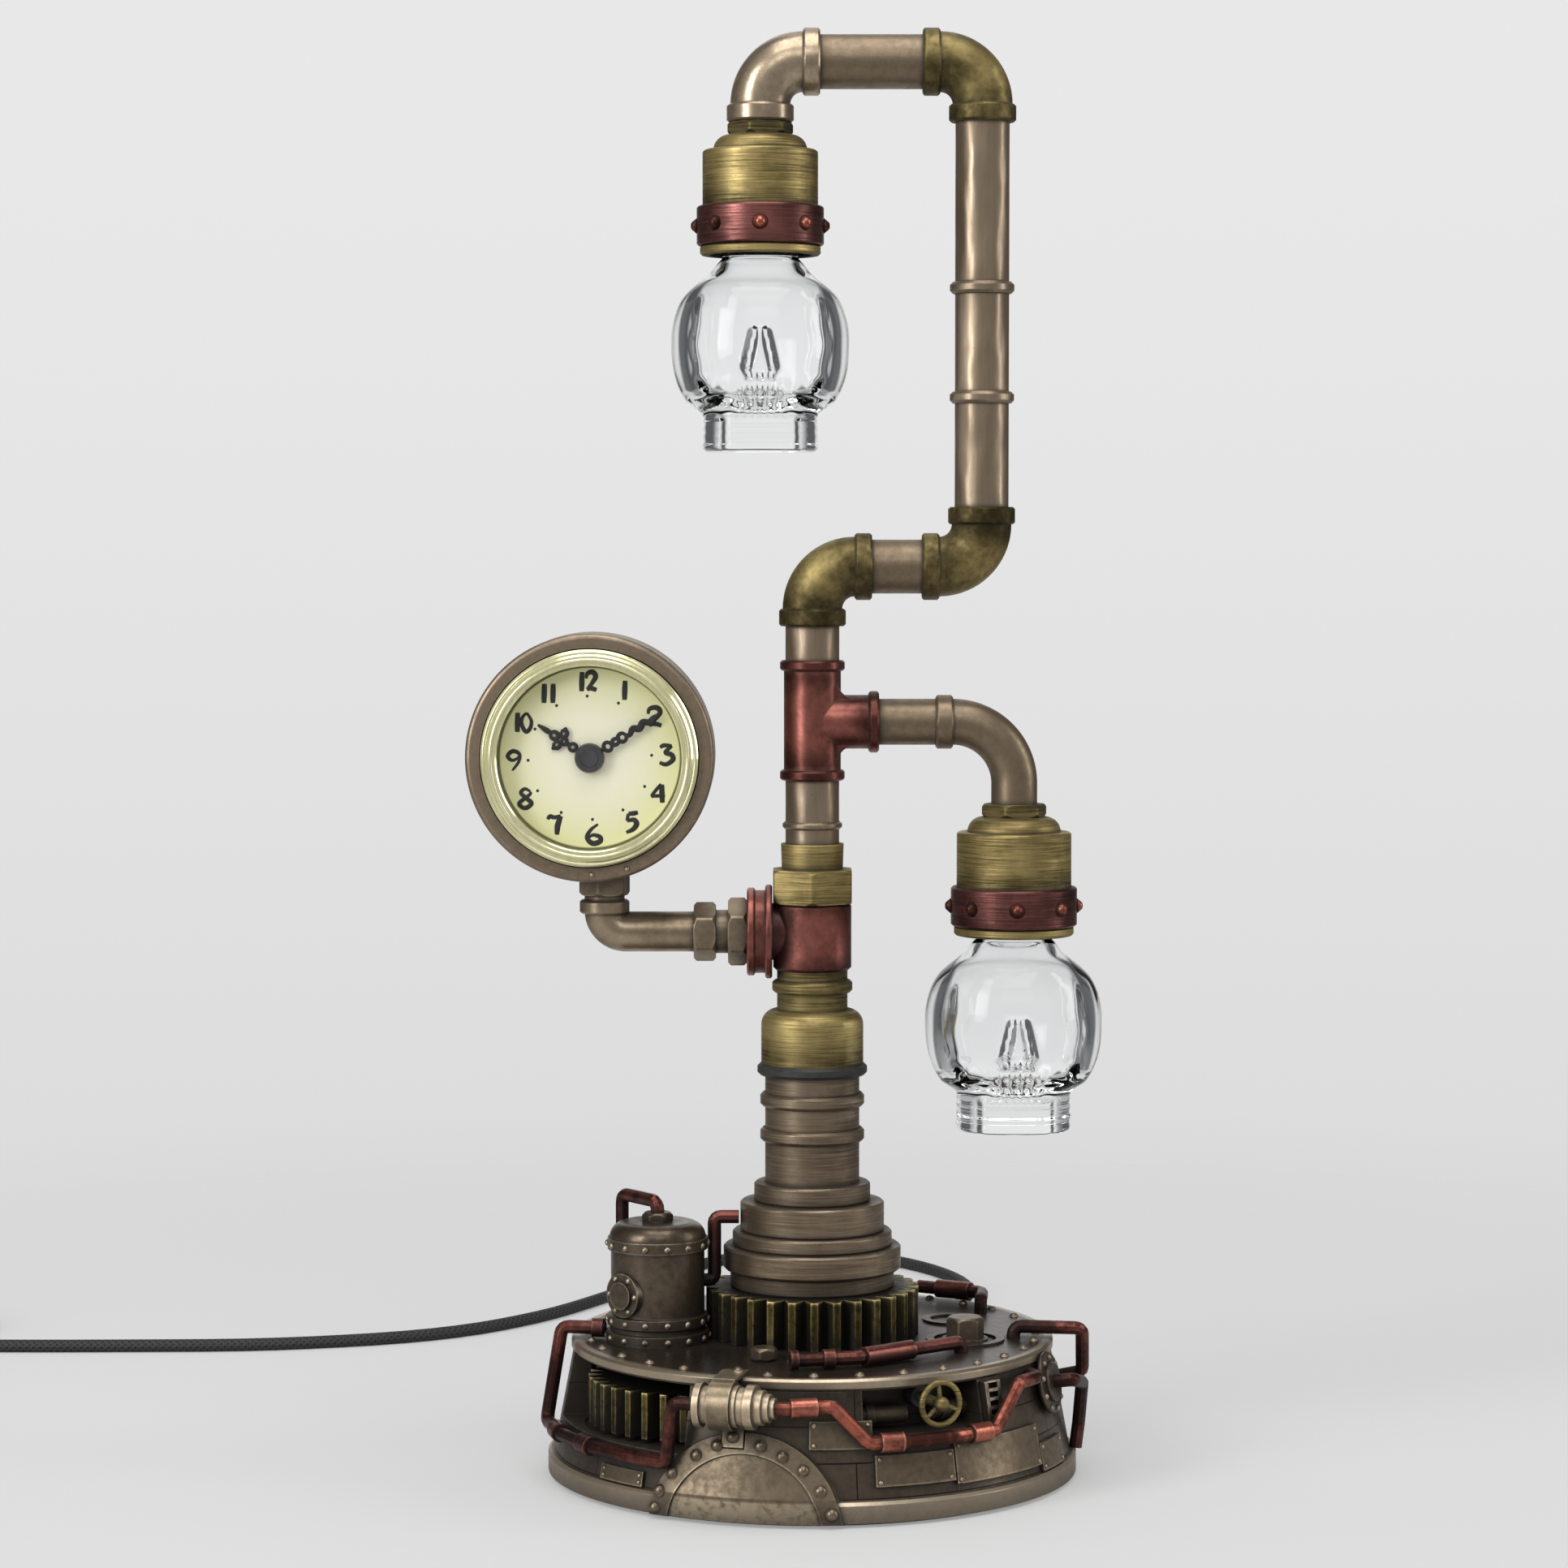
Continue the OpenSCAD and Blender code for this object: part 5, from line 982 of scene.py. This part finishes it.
# %% Figures and dots of the dial
DIAL_SKEW = 2.3
FIGURE_R, FIGURE_H, FIGURE_STEP, LONE_W, PAIRED_W = 23.3, 5.9, 2.7, 7.0, 5.4
PEN_WEIGHT, INK_DEPTH, DOT_R, DOT_SIZE = 1.4, 0.06, 18.9, 0.5
print_ink = bmesh.new()
for hour in range(1, 13):
    a = radians(30 * hour - DIAL_SKEW)
    text = str(hour)
    wide = LONE_W if len(text) == 1 else PAIRED_W
    middle = Vector((CLOCK.x + FIGURE_R * sin(a), DIAL_Y, CLOCK.z + FIGURE_R * cos(a)))
    for k, figure in enumerate(text):
        shift = (k - (len(text) - 1) / 2) * FIGURE_STEP - 0.3 * wide
        place = middle + Vector((shift, 0, -FIGURE_H / 2))
        for thin, thick, points in PEN[figure]:
            path = [(x * wide, z * FIGURE_H) for x, z in points]
            pen_stroke(print_ink, path, thin * PEN_WEIGHT, thick * PEN_WEIGHT, INK_DEPTH, place)
    dot = Vector((CLOCK.x + DOT_R * sin(a), DIAL_Y, CLOCK.z + DOT_R * cos(a)))
    bmesh.ops.create_uvsphere(print_ink, u_segments=10, v_segments=6, radius=DOT_SIZE * MM,
                              matrix=Matrix.Translation(dot * MM) @ Matrix.Diagonal((1, 0.15, 1, 1)))
keep(print_ink, "dial_figures", ink_black, "clock_insert")

# %% [markdown]
# The gold rim is rolled in steps. Two thin beads spun round the clock's axis catch the light as the
# rolled edges do. A ray dropped on the rim tells how far out it is there.

# %% Beads of the rim
BACKWARD, BEAD_R, BEAD_RINGS = Vector((0, 1, 0)), 0.55, (30.1, 32.3)
rim = surface("clock_bezel")
beads = bmesh.new()
for radius in BEAD_RINGS:
    spot = land(rim, CLOCK + Vector((radius, -OUTSIDE, 0)), BACKWARD)
    hoop = bmesh.ops.create_circle(beads, segments=10, radius=BEAD_R * MM,
                                   matrix=Matrix.Translation(spot.translation))["verts"]
    bmesh.ops.spin(beads, geom=hoop + list({e for v in hoop for e in v.link_edges}), cent=CLOCK * MM,
                   axis=BACKWARD, angle=2 * pi, steps=96, use_merge=True)
bmesh.ops.recalc_face_normals(beads, faces=beads.faces)
keep(beads, "bezel_beads", bezel_gold, "clock_insert")

# %% [markdown]
# Two tiny heads at the foot of the clock's ring pin it to the stem below.

# %% Rivets of the clock ring
PIN_HEAD, pin_spots = (0.8, 0.6), [(0.7, -35.6), (11.4, -33.8)]
drum = surface("clock_drum")
pins = [land(drum, CLOCK + Vector((x, -OUTSIDE, z)), BACKWARD) for x, z in pin_spots]
rivets(PIN_HEAD, pins, "ring_rivets")

# %% [markdown]
# The hands are pierced lace: rings and petals on a stem that ends in a spike or in a wavy leaf. Each
# part is a pen stroke too. The hand is drawn pointing up and then turned to ten past ten, and a
# round cap covers the spindle.

# %% Lace hands
HAND_DEPTH, HOUR_Y, MINUTE_Y = 0.2, -13.4, -14.4
HOUR_ANGLE, MINUTE_ANGLE = 305 - DIAL_SKEW, 60 - DIAL_SKEW


def loop(x, z, wide, high):
    """A closed pen path round a centre."""
    turns = [radians(45 * k) for k in range(9)]
    return [(x + wide * sin(t), z + high * cos(t)) for t in turns]


def lace_hand(name, strokes, angle, y):
    """A hand made of pen strokes, turned to its angle and set at its height over the dial."""
    made = bmesh.new()
    for thin, thick, points in strokes:
        pen_stroke(made, points, thin, thick, HAND_DEPTH)
    turn = Matrix.Rotation(radians(angle), 3, "Y")
    bmesh.ops.rotate(made, cent=(0, 0, 0), matrix=turn, verts=made.verts)
    bmesh.ops.translate(made, vec=(CLOCK + Vector((0, y, 0))) * MM, verts=made.verts)
    piece = keep(made, name + "_lace", ink_black, name, smooth=False)
    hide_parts(name)


hour_strokes = [
    (0.7, 0.8, [(0, 0), (0, 2.4), (0, 5)]), (0.5, 0.6, loop(0, 6.1, 1.1, 1.1)),
    (0.6, 0.8, [(0, 7), (0, 7.8), (0, 8.6)]), (0.5, 0.6, loop(0, 9.3, 0.9, 0.9)),
    (0.5, 0.7, loop(2.0, 10.6, 1.1, 0.95)), (0.5, 0.7, loop(-2.0, 10.6, 1.1, 0.95)),
    (0.2, 0.7, [(2.8, 10.6), (3.4, 10.9), (4.0, 10.6)]),
    (0.2, 0.7, [(-2.8, 10.6), (-3.4, 10.9), (-4.0, 10.6)]),
    (0.5, 0.7, loop(0, 12.8, 1.1, 1.2)), (0.3, 0.9, [(0, 13.6), (0, 14.8), (0, 16.4), (0, 18.8)]),
]
lace_hand("hour_hand", hour_strokes, HOUR_ANGLE, HOUR_Y)
minute_strokes = [
    (0.7, 0.8, [(0, 0), (0, 2.6), (0, 5.2)]), (0.5, 0.65, loop(0, 6.6, 1.35, 1.25)),
    (0.5, 0.7, loop(0, 9.4, 0.9, 1.1)), (0.5, 0.7, loop(0, 11.8, 1.3, 1.3)),
    (0.6, 1.15, [(0, 12.8), (0.5, 14.2), (-0.5, 16), (0.5, 17.8), (-0.5, 19.6), (0.4, 21.2), (0, 23),
                 (0, 24.4)]),
    (0.2, 0.6, [(0, 22.4), (0, 24), (0, 25.5)]),
]
lace_hand("minute_hand", minute_strokes, MINUTE_ANGLE, MINUTE_Y)

FACING = Matrix.Rotation(radians(90), 4, "X")
cap_steps = [(4.6, 4.2, 1.3, 0.6), (2.8, 2.6, 0.3, 1.35)]
cap = bmesh.new()
for wide, top, thick, out in cap_steps:
    centre = CLOCK + Vector((0, MINUTE_Y - out, 0))
    bmesh.ops.create_cone(cap, cap_ends=True, segments=48, radius1=wide * MM, radius2=top * MM,
                          depth=thick * MM, matrix=Matrix.Translation(centre * MM) @ FACING)
keep(cap, "spindle_cap", cap_reflection_grey, "minute_hand", smooth=False)

# %% [markdown]
# ## Studio
# The camera sees a pale backdrop everywhere. Metal and glass see it too, but on either side of it
# they see the darker studio, as black cards beside a backdrop draw the dark rims of pipes and
# bottles in a product photograph.

# %% World
world = bpy.data.worlds.new("studio")
bpy.context.scene.world = world
world.use_nodes = True
sky = Wire(world.node_tree)
look = sky.node("ShaderNodeTexCoord", out="Generated")
pale = look.axis("Z").ramp(-0.28, 0.14).between(rgb(0.69, 0.69, 0.69), rgb(0.81, 0.81, 0.81))
side = sky.maths("ABSOLUTE", sky.maths("ARCTAN2", look.axis("X"), look.axis("Y")))


def card(low, high):
    """1 between two angles from the backdrop's middle, in degrees, with soft ends."""
    soft = radians(6)
    low, high = radians(low), radians(high)
    return side.ramp(low - soft, low + soft) * (1 - side.ramp(high - soft, high + soft))


def ray(kind):
    return sky.node("ShaderNodeLightPath", out=kind)


off_metal = ray("Is Glossy Ray") * (1 - sky.maths("MINIMUM", ray("Transmission Depth"), 1.0))
room = (off_metal * card(86, 190)).between(pale, rgb(0.32, 0.315, 0.31))
room = (off_metal * card(20, 86)).between(room, rgb(0.11, 0.105, 0.10))
room = (ray("Is Transmission Ray") * card(24, 56)).between(room, rgb(0.09, 0.095, 0.10))
room = ray("Is Diffuse Ray").between(room, rgb(0.48, 0.48, 0.485))
feed(room, world.node_tree.nodes["Background"], "Color")
print("world:", len(world.node_tree.nodes), "nodes")

# %% [markdown]
# The floor is a disc whose rim fades into the backdrop, so no horizon shows, and it still takes the
# lamp's shadow.

# %% Floor
FLOOR_R, FLOOR_CLEAR, FLOOR_GONE, FLOOR_SOLID = 2.4, 0.3, 1.1, 0.6
ground = bmesh.new()
bmesh.ops.create_circle(ground, cap_ends=True, segments=96, radius=FLOOR_R)
floor_mesh = mesh_of(ground, "floor")
floor = bpy.data.objects.new("floor", floor_mesh)
show(floor)
paper, shader, start = new_finish("floor_paper")
plain(shader, base_color=rgb(0.585, 0.585, 0.585), roughness=0.9)
far_out = place_on(start).length()
feed(FLOOR_SOLID - far_out.ramp(FLOOR_CLEAR, FLOOR_GONE) * FLOOR_SOLID, shader, "Alpha")
floor_mesh.materials.append(paper)
print("floor:", FLOOR_R, "m in radius")

# %% [markdown]
# The lamp stands in plain soft light: a tall box to the left, a narrow one to the right, one
# overhead and a weak one high in front.

# %% Lights


def softbox(name, place, aim, wide, high, power):
    """A rectangular lamp that faces a point."""
    data = bpy.data.lights.new(name, "AREA")
    data.shape, data.size, data.size_y, data.energy = "RECTANGLE", wide, high, power
    lamp = bpy.data.objects.new(name, data)
    lamp.location = place
    lamp.rotation_euler = (Vector(aim) - Vector(place)).to_track_quat("-Z", "Y").to_euler()
    show(lamp)


AIM = (0.0, 0.0, 0.22)
softbox("left_box", (-1.5, -1.3, 0.9), AIM, 0.6, 1.5, 25)
softbox("right_box", (1.9, -0.15, 0.8), AIM, 0.35, 1.4, 9)
softbox("top_box", (0.0, -0.3, 1.7), AIM, 1.2, 1.2, 14)
softbox("front_box", (0.1, -1.7, 1.5), AIM, 1.6, 0.7, 8)

bpy.context.scene.view_settings.view_transform = "Standard"
